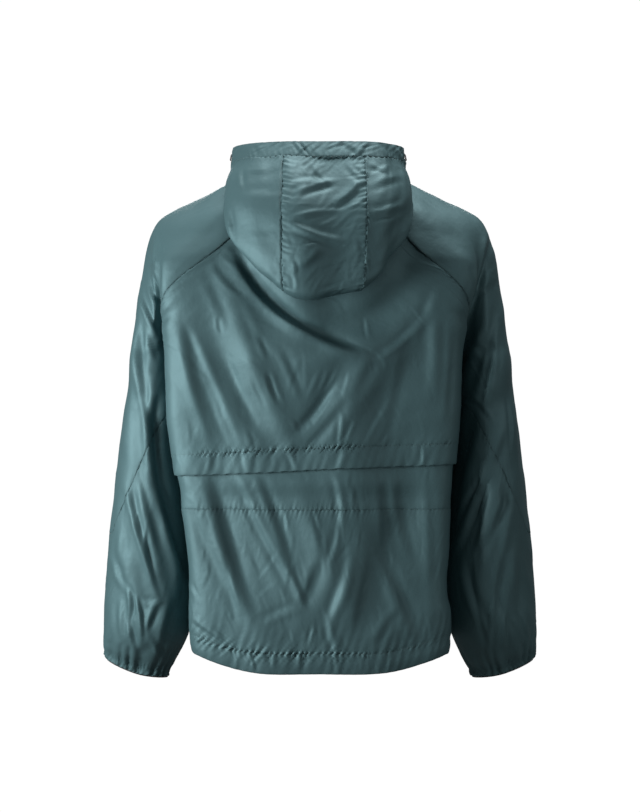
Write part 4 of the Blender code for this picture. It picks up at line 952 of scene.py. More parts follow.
def uneven(along, pitch, seed):
    """A smooth row of unequal rises and hollows, about one of each every pitch."""
    rng = np.random.default_rng(seed)
    count = int(np.ptp(along) / pitch * 2) + 12
    every, thirds = np.arange(count), np.arange(0, count + 3, 3)
    knots = rng.uniform(0.5, 1.0, count) * np.where(every % 2, 1, -1)
    drift = np.interp(every, thirds, rng.uniform(-0.8, 0.8, len(thirds)))
    place = (along - along.min()) / (pitch / 2) + 3
    place = np.clip(place + np.interp(place, every, drift), 0, count - 2)
    k = place.astype(int)
    return mix(knots[k], knots[k + 1], ease(place - k))


def pucker(cut, edge, depth, pitch, reach, seed, slant, at):
    """Short ridges square to a seam or stitch line that lies at a distance from an edge."""
    far = cut.edges[edge] - at
    along = cut.across if edge in ("bottom", "top") else cut.along
    wave = uneven(along + slant * far, pitch, seed)
    strength = 0.6 + 0.4 * np.clip(uneven(along, pitch * 5.5, seed + 1) + 0.6, 0, 1.3)
    return depth * wave * strength * np.exp(-np.abs(far) / reach) * ease(np.abs(far) / (0.5 * MM) + 0.25)


def puckers(cut, settings, seed, *rows):
    """Puckers of a cut's seams: rows of edge, depth, pitch and reach in millimetres, slant, place, share."""
    total = 0.0
    for n, (edge, depth, pitch, reach, slant, *more) in enumerate(rows):
        at, share = more + [0.0, 1.0][len(more):]
        total = total + pucker(cut, edge, depth * MM, pitch * MM, reach * MM, seed + n, slant, at) * share
    return total * settings.puckers


def groove(cut, edge, at, depth=0.35 * MM, reach=0.8 * MM):
    """The dent of a row of stitches."""
    return -depth * bell((cut.edges[edge] - at) / reach)


def ripple(cut, wave, depth, seed):
    """A soft all-over unevenness of the cloth."""
    rng = np.random.default_rng(seed)
    total = np.zeros(cut.t.shape)
    for _ in range(7):
        angle, phase = rng.uniform(0, math.tau), rng.uniform(0, math.tau)
        turns = (cut.across * math.cos(angle) + cut.along * math.sin(angle)) / (wave * rng.uniform(0.6, 1.6))
        total += np.sin(turns * math.tau + phase)
    return total * depth / 2.6


# ---------------------------------------------------------------- the cut pieces

CUTS = {}


def cut_piece(name, grid, seams, *args, **options):
    """A piece cut from a grid; its seamed edges reach under their neighbours."""
    points, places, sections = grid
    CUTS[name] = Cut(name, trim(points, seams, SEAM_LAP), places, sections, *args, **options)
    return CUTS[name]


def finish_cut(cut, heights, edges, *roll):
    """Give a cut its last heights and turn its edges in."""
    cut.raise_by(heights)
    cut.roll_edges(edges, *roll)
    return cut


def from_sleeve_axis(points):
    """Directions square out from the sleeve's upright axis."""
    side = math.copysign(1.0, points[..., 0].mean())
    return unit((points - np.array((side * SLEEVE_AXIS[0], SLEEVE_AXIS[1], 0.0))) * LEVEL)


# Places round the side at which folds and creases fade out or in, and the room that each fade takes.
BACK_FOLDS_END, BACK_CREASES_END = (2.4, 0.9), (2.75, 0.5)
ARM_FOLDS_END, ARM_CREASES_END, ARM_INSIDE_START = (5.6, 0.8), (5.7, 0.6), (3.1, 0.5)
ARM_FRONT_START, ARM_FRONT_END, FRONT_CREASES_START = (5.1, 0.6), (FRONT_SIDE, 0.4), (7.3, 0.6)


def until(places, end):
    """1 well before an end, 0 from the end on."""
    return ease((end[0] - places) / end[1])


def since(places, start):
    """0 up to a start, 1 well after it."""
    return ease((places - start[0]) / start[1])


def back_creases(cut, settings):
    """Main folds and creases of the back; under the flap the band follows the flap's own."""
    facing = until(np.abs(cut.t), BACK_FOLDS_END)
    cut.raise_by(fold_heights(BACK_FOLDS, cut.x, cut.z) * facing * settings.folds, outwards(cut.base))
    facing = until(np.abs(cut.t), BACK_CREASES_END)
    upper = crease_heights(BACK_CREASES, cut.x, cut.z, settings.creases)
    lower = crease_heights(LOWER_CREASES, cut.x, cut.z, settings.creases)
    edge = FLAP_Z + FLAP_TILT * cut.x
    below = {"back_upper": 0.0, "back_inset": ease((edge - cut.z) / (8 * MM)), "back_lower": 1.0}[cut.name]
    planes = crease_heights(BACK_PLANES, cut.x, cut.z)
    cut.raise_by((mix(upper, lower, below) + planes) * facing)


def gathered_part(cut):
    """The back's seams are drawn up on the left and in the middle, and lie nearly flat on the right."""
    return 0.25 + 0.75 * since(cut.x, (-85 * MM, 60 * MM)) * until(cut.x, (195 * MM, 30 * MM))


def upper_back(settings):
    """The upper back down to the free edge of its flap."""
    above, below = rows_above(), 4

    def place(i, j):
        s = above[j - below] if j >= below else mix(flap_row(i), UNDERARM, j / below)
        side, t = back_place(i, s)
        return side, t, s

    def surface(side, t, s):
        point = torso(side, t, s)
        lift = FLAP_LIFT * ease((FLAP_Z + FLAP_HEM - point[2]) / FLAP_HEM)
        return point + outwards(point) * lift

    grid = cut_grid(2 * BACK_HALF, below + HEAD_STEPS, place, surface)
    cut = cut_piece("back_upper", grid, ("first", "last"), settings.pitch, outwards, keep=(FLAP_STITCH,))
    back_creases(cut, settings)
    heights = ripple(cut, 60 * MM, 0.35 * MM, 3)
    near_flap = ease((FLAP_STITCH * 1.9 - cut.edges["bottom"]) / FLAP_STITCH)
    heights += puckers(
        cut, settings, 11,
        ("bottom", 2.6, 6.8, 6.5, 0.8, FLAP_STITCH, gathered_part(cut)),
        ("bottom", 0.35, 16, 26, 0.3, 0.0, near_flap),
        ("first", 0.5, 13, 10, 0.6), ("last", 0.5, 13, 10, 0.6),
    )
    heights += groove(cut, "bottom", FLAP_STITCH)
    heights += fine_heights(cut, settings, 15, 300, 76)
    finish_cut(cut, heights, ("first", "last"), 1.1 * MM, 1.5 * MM)
    cut.roll_edges(("bottom",))
    return cut


def vent_band(settings):
    """The band that starts under the flap and ends in the vent's seam."""
    rows, top = 5, FLAP_Z + FLAP_HEM - 1 * MM

    def place(i, j):
        s = mix(row_at(VENT_SEAM_Z), row_at(top) - row_at(FLAP_Z) + flap_row(i), j / rows)
        side, t = back_place(i, s)
        return side, t, s

    def surface(side, t, s):
        point = torso(side, t, s)
        z = point[2] - FLAP_TILT * point[0]
        rise = ease((z - VENT_SEAM_Z) / (FLAP_Z - VENT_SEAM_Z))
        sink = INSET_SINK * rise + (INSET_TOP_SINK - INSET_SINK) * ease((z - FLAP_Z) / (top - FLAP_Z))
        return point - outwards(point) * sink

    seams = ("first", "last", "bottom")
    grid = cut_grid(2 * BACK_HALF, rows, place, surface)
    cut = cut_piece("back_inset", grid, seams, settings.pitch * BAND_PITCH, outwards)
    back_creases(cut, settings)
    shown = ease((FLAP_Z + FLAP_TILT * cut.x - 3 * MM - cut.z) / (6 * MM))
    heights = puckers(cut, settings, 21, ("bottom", 0.9, 6.5, 6, 0.3, 0.0, gathered_part(cut) * shown))
    heights += fine_heights(cut, settings, 22, 60, 80) * shown
    return finish_cut(cut, heights, seams)


def lower_back(settings):
    """The lower back with the casing of the hem."""
    sections_down = [0.0, 0.5, CASING_TOP_ROW]
    sections_down += [mix(CASING_TOP_ROW, row_at(VENT_SEAM_Z), n / 7) for n in range(1, 8)]

    def place(i, j):
        side, t = back_place(i, sections_down[j])
        return side, t, sections_down[j]

    grid = cut_grid(2 * BACK_HALF, 9, place, torso)
    cut = cut_piece("back_lower", grid, ("first", "last", "top"), settings.pitch, outwards, keep=(2,))
    back_creases(cut, settings)
    casing = casing_height(cut)
    heights = ripple(cut, 55 * MM, 0.3 * MM, 31)
    heights += puckers(
        cut, settings, 32,
        ("top", 0.9, 6.5, 7, -0.3, 0.0, gathered_part(cut)),
        ("bottom", 2, 8.5, 8, 0.9, casing, gathered_part(cut)),
        ("bottom", 0.45, 15, 30, 0.3, casing),
    )
    heights += groove(cut, "bottom", casing, 0.4 * MM, 1.0 * MM)
    heights += fine_heights(cut, settings, 35, 230, 80)
    return finish_cut(cut, heights, ("first", "last", "top", "bottom"))


def casing_height(cut):
    """Height of the hem's stitch line above the free edge."""
    middle = cut.s.shape[0] // 2
    return float(np.interp(CASING_TOP_ROW, cut.s[middle], cut.along[middle]))


def fine_heights(cut, settings, seed, count, way, turn=0.16):
    """Small creases in the cloth's own flat plane."""
    made = small_creases(seed + settings.seed, cut.across.max(), cut.along.max(), count, way, turn)
    return crease_heights(made, cut.across, cut.along, settings.small_creases)


FRONT_SECTIONS = [0.0, 0.5] + [float(n) for n in range(1, UNDERARM)] + rows_above()


def front(side, tag, settings):
    """A front from the zip to the side and raglan seams."""
    columns, rows = 10, len(FRONT_SECTIONS) - 1

    def place(i, j):
        s = FRONT_SECTIONS[j]
        seam = CENTRE_FRONT - raglan_place(s)
        edge = CENTRE_FRONT - zip_edge(side, s, ZIP_HALF)
        places = spread((2.0,), (7, 3), edge, CENTRE_FRONT - seam, LEAST_ROOM)
        return side, CENTRE_FRONT - places[i], s

    grid = cut_grid(columns, rows, place, torso)
    cut = cut_piece(f"front_{tag}", grid, ("last",), settings.hidden_pitch, outwards, keep=(2,))
    facing = since(np.abs(cut.t), FRONT_CREASES_START)
    seed = 41 if side > 0 else 51
    casing = casing_height(cut)
    cut.raise_by(crease_heights(FRONT_CREASES, cut.x, cut.z, settings.creases) * facing)
    heights = ripple(cut, 70 * MM, 0.4 * MM, seed)
    heights += puckers(cut, settings, seed + 1, ("first", 0.5, 12, 9, 0.5), ("last", 0.5, 14, 10, 0.6),
                       ("bottom", 0.9, 10, 11, 0.5, casing))
    heights += groove(cut, "bottom", casing, 0.6 * MM, 1.2 * MM)
    heights += fine_heights(cut, settings, seed + 4, 150, 80)
    return finish_cut(cut, heights, ("last", "bottom"))


def arm_creases(cut, side, settings):
    """Folds and creases of a sleeve: its own behind, those of the other sleeve in front."""
    t = np.abs(cut.t)
    x, z = cut.x, cut.z
    inside = mix(1.0, since(t, ARM_INSIDE_START), ease(cut.s + 2))
    folds = fold_heights(SLEEVE_FOLDS, np.abs(x), z)
    cut.raise_by(folds * until(t, ARM_FOLDS_END) * inside * settings.folds, from_sleeve_axis(cut.base))
    own, other = (LEFT_SLEEVE_CREASES, RIGHT_SLEEVE_CREASES)[::side]
    strength = SLEEVE_CREASING * settings.creases
    behind = crease_heights(own, x, z, strength) * until(t, ARM_CREASES_END)
    ahead = crease_heights(other, -x, z - 12 * MM, 0.8 * strength) * since(t, ARM_FRONT_START)
    cut.raise_by(behind + ahead * until(t, ARM_FRONT_END))
    if side < 0:
        touching = bell((z + 425 * MM) / (60 * MM)) + 0.5 * bell((z + 572 * MM) / (35 * MM))
        against = np.clip(cut.normals[..., 0], 0, 1) * touching
        cut.raise_by(SLEEVE_REST * against * ease(cut.s + 0.2), SIDEWAYS)


def upper_sleeve(side, tag, settings):
    """A sleeve from the neckline to the slanting seam at the elbow."""
    head_rows, ring_rows = HEAD_STEPS, 6

    def place(i, j):
        if j <= head_rows:
            q = -mix(NECK - UNDERARM, 0, j / head_rows)
            return side, sleeve_columns(q)[i], q
        share = (j - head_rows) / ring_rows
        t = sleeve_columns(share * 2)[i]
        return side, t, share * elbow_ring(t)

    points, places, sections = cut_grid(2 * SLEEVE_HALF, head_rows + ring_rows, place, sleeve)
    # The rings below the head are closed, so their sides have no seam.
    edges = trim(points, ("first", "last", "top"), SEAM_LAP)
    edges[:, head_rows:-1] = points[:, head_rows:-1]
    cut = cut_piece(f"sleeve_{tag}_upper", (edges, places, sections), (), settings.pitch * UPPER_PITCH,
                    from_sleeve_axis, closed_from=head_rows)
    arm_creases(cut, side, settings)
    seed = 61 if side > 0 else 71
    open_part = ease(-cut.s / 0.6)
    heights = ripple(cut, 60 * MM, 0.4 * MM, seed)
    heights += puckers(cut, settings, seed + 1, ("first", 0.5, 12, 9, 0.6, 0.0, open_part),
                       ("last", 0.5, 12, 9, 0.6, 0.0, open_part), ("top", 0.55, 10, 8, 0.4))
    heights += fine_heights(cut, settings, seed + 4, 200, 70)
    cut.raise_by(heights)
    seam_roll = bell(cut.edges["first"] / (1.5 * MM)) + bell(cut.edges["last"] / (1.5 * MM))
    return finish_cut(cut, -1.1 * MM * open_part * seam_roll, ("top", "bottom"))


def forearm(side, tag, settings):
    """The lower sleeve runs on into the gathered cuff as one cloth."""
    lower_rows, cuff_rows = 8, 5

    def place(i, j):
        t = sleeve_columns(4)[i]
        if j <= lower_rows:
            return side, t, mix(elbow_ring(t), GATHER_RING, j / lower_rows)
        return side, t, mix(GATHER_RING, CUFF_RING, (j - lower_rows) / cuff_rows)

    grid = cut_grid(2 * SLEEVE_HALF, lower_rows + cuff_rows, place, sleeve)
    cut = cut_piece(f"sleeve_{tag}_lower", grid, ("bottom",), settings.pitch * FOREARM_PITCH,
                    from_sleeve_axis, closed_from=0)
    arm_creases(cut, side, settings)
    seed = 81 if side > 0 else 91
    heights = ripple(cut, 60 * MM, 0.4 * MM, seed)
    heights += puckers(cut, settings, seed + 1, ("bottom", 0.6, 10, 9, 0.4))
    heights += fine_heights(cut, settings, seed + 2, 190, 75) * ease((GATHER_RING + 0.4 - cut.s) / 0.8)
    heights += gathers(cut, seed + 3)
    return finish_cut(cut, heights, ("bottom", "top"), 0.9 * MM, 1.6 * MM)


def gathers(cut, seed):
    """Uneven gathers held in by the cuff's elastic, each running its own way up the sleeve."""
    rng = np.random.default_rng(seed)
    count = CUFF_GATHERS
    turn = (np.abs(cut.t) - SIDE) / (FRONT_SIDE - SIDE) * count
    gather_at = [np.interp(GATHER_RING, row, along) for row, along in zip(cut.s, cut.along)]
    above = np.stack(gather_at)[:, None] - cut.along
    lean = rng.uniform(-0.022, 0.022) * np.clip(above, 0, None) / MM
    turn = turn + lean + 0.32 * np.sin(turn * 1.7 + seed) + 0.2 * np.sin(turn * 0.61)
    depth = np.append(rng.uniform(0.25, 1.4, count + 2), 0)
    reach = np.append(rng.uniform(5, 11, count + 2), 8) * MM
    reach[::4] += 20 * MM
    k = np.clip(np.floor(turn).astype(int) % count, 0, count)
    f = turn - np.floor(turn)
    here = mix(depth[k], depth[(k + 1) % count], ease(f))
    runs = mix(reach[k], reach[(k + 1) % count], ease(f))
    wave = (0.5 - 0.5 * np.cos(turn * math.tau)) ** 1.25
    profile = np.interp(cut.s, (5.6, 6.6, 7.3, 8.2, 8.75, 9.0), (0.4, 0.5, 0.65, 1.0, 0.8, 0.35))
    fade = np.exp(-np.clip(above, 0, None) / runs)
    ruffle = uneven(cut.across + 0.5 * above, RUFFLE_PITCH, seed + 1)
    ruffle *= ease((cut.s - GATHER_RING - 0.6) / 0.6)
    return (RUFFLE * ruffle - GATHER_DEPTH * wave * here * fade) * profile


def hood_cut(name, stations, rows, pitch):
    """A panel of the hood from the neckline to its casing, or the casing, over (side, station) columns."""
    seam = [below_edge(side, u, HOOD_BAND) for side, u in stations]
    low, high = (seam, [RIM] * len(seam)) if name == "hood_band" else ([0.0] * len(seam), seam)

    def place(i, j):
        return *stations[i], mix(low[i], high[i], j / rows)

    points, places, heights = cut_grid(len(stations) - 1, rows, place, hood)
    points = trim(points, HOOD_SEAMS[name], SEAM_LAP)
    if "top" in HOOD_SEAMS[name]:
        points = trim(trim(points, ("top",), CASING_LAP), ("bottom",), NECK_LAP)
    return cut_piece(name, (points, places, heights), (), HOOD_PITCH * pitch,
                     turned=name == "hood_right", across=HOOD_ACROSS)


def hood_creases(cut, settings):
    """The creases drawn on the layer that shows, and softer ones on the layer against the back."""
    shown = since(cut.s, (1.75, 0.35))
    x, z = cut.x, cut.z
    behind = shown * since(cut.base[..., 1], (30 * MM, 40 * MM))
    heights = crease_heights(HOOD_CREASES, x, z, settings.creases) * behind
    heights += crease_heights(HOOD_PLANES, x, z) * behind
    heights += crease_heights(HOOD_CREASES, -x, z + 9 * MM, 0.5 * settings.creases) * (1 - shown)
    return heights


def seam_puckers(cut, settings, edge, seed, coarse):
    """The hood's lengthwise seams: fine needle puckers, with broader ones where the cloth was stretched."""
    depth, reach = (0.95, 8) if coarse else (0.4, 6)
    broad = puckers(cut, settings, seed + 5, (edge, depth, 9.5, reach, -0.3))
    return broad + puckers(cut, settings, seed, (edge, 0.7, 4.6, 3.2, 0.5))


def hood_cuts(settings):
    """The two side panels, the centre panel and the casing, cut and draped."""
    side_columns, centre_half, rows = 11, 4, 12
    sides = [mix(0.0, HOOD_SEAM_STATION, n / side_columns) for n in range(side_columns + 1)]
    centre = [mix(HOOD_SEAM_STATION, HOOD_LAST, n / centre_half) for n in range(centre_half + 1)]
    left, right = [(1, u) for u in sides], [(-1, u) for u in sides]
    middle = [(1, u) for u in centre] + [(-1, u) for u in reversed(centre[:-1])]

    cuts = [
        hood_cut("hood_left", left, rows, settings.pitch),
        hood_cut("hood_right", right, rows, settings.pitch),
        hood_cut("hood_centre", middle, rows, settings.pitch),
        hood_cut("hood_band", left + middle[1:-1] + right[::-1], 2, settings.pitch),
    ]
    for n, cut in enumerate(cuts):
        tuck_in(cut)
        (drape_band if cut.name == "hood_band" else drape_panel)(cut, settings, 101 + 10 * n)
        cut.roll_edges(HOOD_SEAMS[cut.name], 1.1 * MM, 1.2 * MM)
    return cuts


def tuck_in(cut):
    """The hood's sides are drawn in below the casing, where it lies on the shoulders."""
    height, half, back = 43 * MM, 95 * MM, 52 * MM
    tuck = bell((cut.z - height) / (20 * MM)) * since(np.abs(cut.x), (half, 20 * MM))
    tuck *= since(cut.base[..., 1], (back, 14 * MM))
    cut.raise_by(-HOOD_TUCK * tuck, np.sign(cut.x)[..., None] * SIDEWAYS)


def drape_band(cut, settings, seed):
    """Creases and puckers of the hood's casing."""
    facing = ease(cut.base[..., 1] / (40 * MM))
    cut.raise_by(crease_heights(BAND_CREASES, cut.x, cut.z, settings.creases) * facing)
    heights = casing_puff(cut)
    heights += puckers(cut, settings, seed, ("bottom", 0.8, 8, 7, 0.6), ("top", 0.4, 16, 12, -0.3))
    cut.raise_by(heights + fine_heights(cut, settings, seed + 2, 120, 60))


def drape_panel(cut, settings, seed):
    """Creases and puckers of a panel of the hood."""
    cut.raise_by(hood_creases(cut, settings))
    heights = ripple(cut, 45 * MM, 0.35 * MM, seed)
    for n, edge in enumerate(("first", "last")):
        if edge in HOOD_SEAMS[cut.name]:
            coarse = edge == "last" or cut.x.mean() < 0
            heights += seam_puckers(cut, settings, edge, seed + 1 + n, coarse)
    heights += puckers(cut, settings, seed + 3, ("top", 0.9, 8, 9, 0.6))
    cut.raise_by(heights + fine_heights(cut, settings, seed + 4, 200, 50, 0.2))


def casing_puff(cut):
    """The casing is filled out a little by the cord inside it."""
    share = cut.along / cut.along[:, -1:]
    return CORD_PUFF * np.sin(math.pi * share)


# ---------------------------------------------------------------- meshes


def mesh_of(name, bm, smooth=True):
    """The mesh that a bmesh holds; the bmesh is freed."""
    mesh = bpy.data.meshes.new(name)
    bm.to_mesh(mesh)
    bm.free()
    if smooth:
        mesh.shade_smooth()
    return mesh


def put(name, mesh, material):
    """An object with a mesh and a finish, linked to the scene."""
    made = bpy.data.objects.new(name, mesh)
    bpy.context.scene.collection.objects.link(made)
    mesh.materials.append(material)
    return made


def cloth_mesh(cut):
    """The grid as a mesh whose UVs are distances along the cloth."""
    columns, rows = cut.t.shape[0] - 1, cut.t.shape[1] - 1
    bm = bmesh.new()
    bmesh.ops.create_grid(bm, x_segments=columns, y_segments=rows, size=0.5)
    mesh = mesh_of(cut.name + "_cloth", bm, smooth=False)
    flat = np.empty(len(mesh.vertices) * 3)
    mesh.vertices.foreach_get("co", flat)
    flat = flat.reshape(-1, 3)
    i = np.rint((flat[:, 0] + 0.5) * columns).astype(int)
    j = np.rint((flat[:, 1] + 0.5) * rows).astype(int)
    mesh.vertices.foreach_set("co", cut.points[i, j].ravel())
    corners = np.empty(len(mesh.loops), dtype=int)
    mesh.loops.foreach_get("vertex_index", corners)
    places = np.stack((cut.across[i, j], cut.along[i, j]), axis=1)[corners]
    mesh.uv_layers.new(name="cloth").data.foreach_set("uv", places.ravel())
    near = np.min([cut.edges[name] for name in cut.edges], axis=0)
    seam = mesh.attributes.new("seam", "FLOAT", "POINT")
    seam.data.foreach_set("value", np.exp(-near[i, j] / (6 * MM)))
    if cut.turned:
        mesh.flip_normals()
    if cut.closed_from is not None:
        bm = bmesh.new()
        bm.from_mesh(mesh)
        bm.verts.ensure_lookup_table()
        ends = [bm.verts[int(k)] for k in np.nonzero(((i == 0) | (i == columns)) & (j >= cut.closed_from))[0]]
        bmesh.ops.remove_doubles(bm, verts=ends, dist=1e-6)
        bm.to_mesh(mesh)
        bm.free()
    mesh.shade_smooth()
    return mesh


def sew(cut, wall, *nodes):
    """The finished cloth: its mesh with a wall, in place of the solids it stands for."""
    made = put(cut.name + "_cloth", cloth_mesh(cut), finish("nylon"))
    thick = made.modifiers.new("wall", "SOLIDIFY")
    thick.thickness = wall
    thick.offset = -1.0
    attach(made, JACKET)
    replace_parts(made, *(nodes or (cut.name,)))
    return made


def declare(made, flat, area):
    """Return the cloth unchanged; flat and area are not used."""
    return made


def link_mesh(name, bm, finish_name):
    """A trim of the jacket with its finish."""
    made = put(name, mesh_of(name, bm), finish(finish_name))
    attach(made, JACKET)
    return made


def bead(bm, place, *axes):
    """A small round body with given half axes."""
    size = Matrix(axes).transposed().to_4x4()
    bmesh.ops.create_icosphere(bm, subdivisions=1, radius=1.0, matrix=Matrix.Translation(place) @ size)


STITCH_SHARE, THREAD_FLAT, THREAD_LIFT = 0.74, 0.38, 0.12 * MM


def stitch_along(bm, points, normals, settings):
    """Thread on a line: one small rounded stitch after another."""
    total = running(np.linalg.norm(np.diff(points, axis=0), axis=1))
    for n in range(int(total[-1] / settings.stitch)):
        ends = (n * settings.stitch, (n + STITCH_SHARE) * settings.stitch)
        start, end = (along_line(d, total, points) for d in ends)
        normal = unit(along_line(ends[0], total, normals))
        way = unit(end - start)
        beside = unit(np.cross(normal, way))
        up = np.cross(way, beside)
        half = np.linalg.norm(end - start) / 2
        middle = (start + end) / 2 + normal * THREAD_LIFT
        bead(bm, middle, way * half, beside * settings.thread / 2, up * settings.thread * THREAD_FLAT)


def stitching(name, lines, settings):
    """One piece with the stitches of several lines."""
    bm = bmesh.new()
    for points, normals in lines:
        stitch_along(bm, points, normals, settings)
    return link_mesh(name, bm, "thread")


# ---------------------------------------------------------------- the zip

ZIP_START, ZIP_POINTS = 0.05, 160


def zip_line():
    """Points, downward and outward directions along the centre front."""
    sections = np.linspace(ZIP_START, ZIP_TOP_ROW, ZIP_POINTS)
    points = np.array([torso(1, CENTRE_FRONT, s) for s in sections])
    down = -unit(np.gradient(points, axis=0))
    return points, down, unit(np.cross(down, (1.0, 0.0, 0.0)))


COIL_TURN = 1.75 * MM, 0.52 * MM, 0.75 * MM
COIL_OUT, COIL_ASIDE, COIL_SLOPE = 0.1 * MM, 1.15 * MM, 0.22
CORE_IN, CORE_ASIDE, CORE_HALF, CORE_THICK = 0.75 * MM, 1.5 * MM, 1.35 * MM, 0.8 * MM


def zip_teeth(settings):
    """The two sides of a nylon coil, with their turns between each other."""
    points, down, out = zip_line()
    total = running(np.linalg.norm(np.diff(points, axis=0), axis=1))
    bm = bmesh.new()
    for n in range(int(total[-1] / settings.coil)):
        for side in (-1, 1):
            d = (n + (0.25 if side > 0 else 0.75)) * settings.coil
            at = along_line(d, total, points)
            lead, face = (unit(along_line(d, total, ways)) for ways in (down, out))
            slope = unit(SIDEWAYS + lead * COIL_SLOPE * side)
            ways = (slope, unit(np.cross(face, slope)), face)
            place = at + face * COIL_OUT + SIDEWAYS * side * COIL_ASIDE
            bead(bm, place, *(way * half for way, half in zip(ways, COIL_TURN)))
    # The woven core that the coil is sewn on runs under the turns, from end to end.
    for side in (-1, 1):
        rail(bm, points - out * CORE_IN + SIDEWAYS * side * CORE_ASIDE, out, CORE_HALF, CORE_THICK)
    bmesh.ops.holes_fill(bm, edges=[edge for edge in bm.edges if edge.is_boundary], sides=4)
    bmesh.ops.recalc_face_normals(bm, faces=bm.faces)
    return link_mesh("zip_coil", bm, "coil")


def rail(bm, points, out, half, thick):
    """A flat bar along a line of points, open at both ends: a grid rolled round its four corners."""
    columns, corners = len(points) - 1, ((-1, 1), (1, 1), (1, -1), (-1, -1))
    made = bmesh.ops.create_grid(bm, x_segments=columns, y_segments=len(corners), size=0.5)
    for vert in made["verts"]:
        k = round((vert.co.x + 0.5) * columns)
        across, up = corners[round((vert.co.y + 0.5) * len(corners)) % len(corners)]
        vert.co = points[k] + SIDEWAYS * half * across + out[k] * thick / 2 * up
    bmesh.ops.remove_doubles(bm, verts=made["verts"], dist=1e-6)


# ---------------------------------------------------------------- materials


class Number:
    """A number in a material, on which Python's operators add Math nodes."""

    def __init__(self, finish, socket):
        self.finish, self.socket = finish, socket

    def math(self, operation, other):
        return self.finish.add("ShaderNodeMath", {"operation": operation}, {0: self, 1: other})

    def __add__(self, other):
        return self.math("ADD", other)

    def __mul__(self, other):
        return self.math("MULTIPLY", other)

    __radd__, __rmul__ = __add__, __mul__


class Finish:
    """A material, and the one way in which nodes are added to it."""

    def __init__(self, name, colour, roughness, metallic=0.0, **constants):
        self.material = bpy.data.materials.new(name)
        self.material.use_nodes = True
        self.nodes, self.links = self.material.node_tree.nodes, self.material.node_tree.links
        self.shader = self.nodes["Principled BSDF"]
        self.set("Base Color", (*colour, 1.0))
        self.set("Roughness", roughness)
        self.set("Metallic", metallic)
        for key, value in constants.items():
            self.set(key.replace("_", " ").title().replace("Ior", "IOR"), value)

    def feed(self, socket, item):
        if isinstance(item, Number):
            self.links.new(item.socket, socket)
        else:
            socket.default_value = item

    def set(self, name, item):
        self.feed(self.shader.inputs[name], item)

    def add(self, kind, settings=None, inputs=None, output=0):
        """A node of a type with its settings and the values or links of its sockets."""
        node = self.nodes.new(kind)
        for key, value in (settings or {}).items():
            if key == "stops":
                for stop, (place, shade) in zip(node.color_ramp.elements, value):
                    stop.position, stop.color = place, (shade, shade, shade, 1.0)
            else:
                setattr(node, key, value)
        for key, value in (inputs or {}).items():
            self.feed(node.inputs[key], value)
        return Number(self, node.outputs[output])

    def bump(self, height, distance, strength=1.0, under=None):
        inputs = {"Height": height, "Distance": distance, "Strength": strength}
        if under is not None:
            inputs["Normal"] = under
        return self.add("ShaderNodeBump", None, inputs)

    def blend(self, share, first, second):
        shades = {0: share, 6: (*first, 1.0), 7: (*second, 1.0)}
        return self.add("ShaderNodeMix", {"data_type": "RGBA"}, shades, 2)

    def noise(self, vector, scale, detail, roughness=0.5):
        inputs = {"Vector": vector, "Scale": scale, "Detail": detail, "Roughness": roughness}
        return self.add("ShaderNodeTexNoise", None, inputs)

    def stretched(self, vector, scale):
        return self.add("ShaderNodeMapping", None, {"Vector": vector, "Scale": scale})

    def waves(self, vector, scale, distortion, detail=2.0):
        inputs = {"Vector": vector, "Scale": scale, "Distortion": distortion, "Detail": detail}
        return self.add("ShaderNodeTexWave", {"wave_type": "BANDS", "bands_direction": "DIAGONAL"}, inputs)

    def object_places(self):
        return self.add("ShaderNodeTexCoord", output=3)


def scaled(colour, share):
    return tuple(value * share for value in colour)


def nylon_finish(name, colour, roughness):
    """Thin satin nylon: fine plain weave, faint unevenness of shade, a little darker and rougher close to
    every edge and seam.
    """
    made = Finish(name, colour, roughness, 0.4, specular_ior_level=0.5)
    flat = made.add("ShaderNodeTexCoord", output=2)
    solid = made.object_places()
    seam = made.add("ShaderNodeAttribute", {"attribute_name": "seam"}, output=2)
    cloudy = made.noise(solid, 14.0, 3.0)
    picks = made.noise(made.stretched(flat, (260.0, 2400.0, 1.0)), 1.0, 2.0)
    ends = made.noise(made.stretched(flat, (2400.0, 260.0, 1.0)), 1.0, 2.0)
    weave = (picks + ends) * 0.5
    # Within a few millimetres of every edge and seam the colour is a little darker and the cloth a little
    # rougher.
    shade = cloudy * 0.5 + weave * 0.35 + seam * -0.22 + 0.1
    made.set("Base Color", made.blend(shade, scaled(colour, 0.8), scaled(colour, 1.22)))
    made.set("Roughness", weave * 0.08 + seam * 0.1 + (roughness - 0.04))
    crumple = made.noise(solid, 95.0, 4.0, 0.55)
    soft = made.bump(crumple, 0.9 * MM, 0.55)
    made.set("Normal", made.bump(weave, 0.08 * MM, 0.5, soft))
    return made.material


def thread_finish(name, colour):
    """Twisted polyester thread."""
    made = Finish(name, colour, 0.5, sheen_weight=0.2)
    solid = made.object_places()
    twist = made.waves(solid, 900.0, 1.5)
    made.set("Base Color", made.blend(twist, scaled(colour, 0.75), scaled(colour, 1.25)))
    made.set("Normal", made.bump(twist, 0.06 * MM, 0.7))
    return made.material


def ribbed_finish(name, colour, scale, roughness=0.7):
    """Matt black knitted elastic, cord or tape, with fine ribs."""
    made = Finish(name, colour, roughness, sheen_weight=0.3)
    solid = made.object_places()
    ribs = made.waves(solid, scale, 0.8)
    fuzz = made.noise(solid, 1800.0, 2.0)
    made.set("Base Color", made.blend(ribs * 0.6 + fuzz * 0.4, scaled(colour, 0.55), scaled(colour, 1.8)))
    made.set("Roughness", fuzz * 0.15 + (roughness - 0.08))
    made.set("Normal", made.bump(ribs * 0.7 + fuzz * 0.3, 0.25 * MM, 0.6))
    return made.material


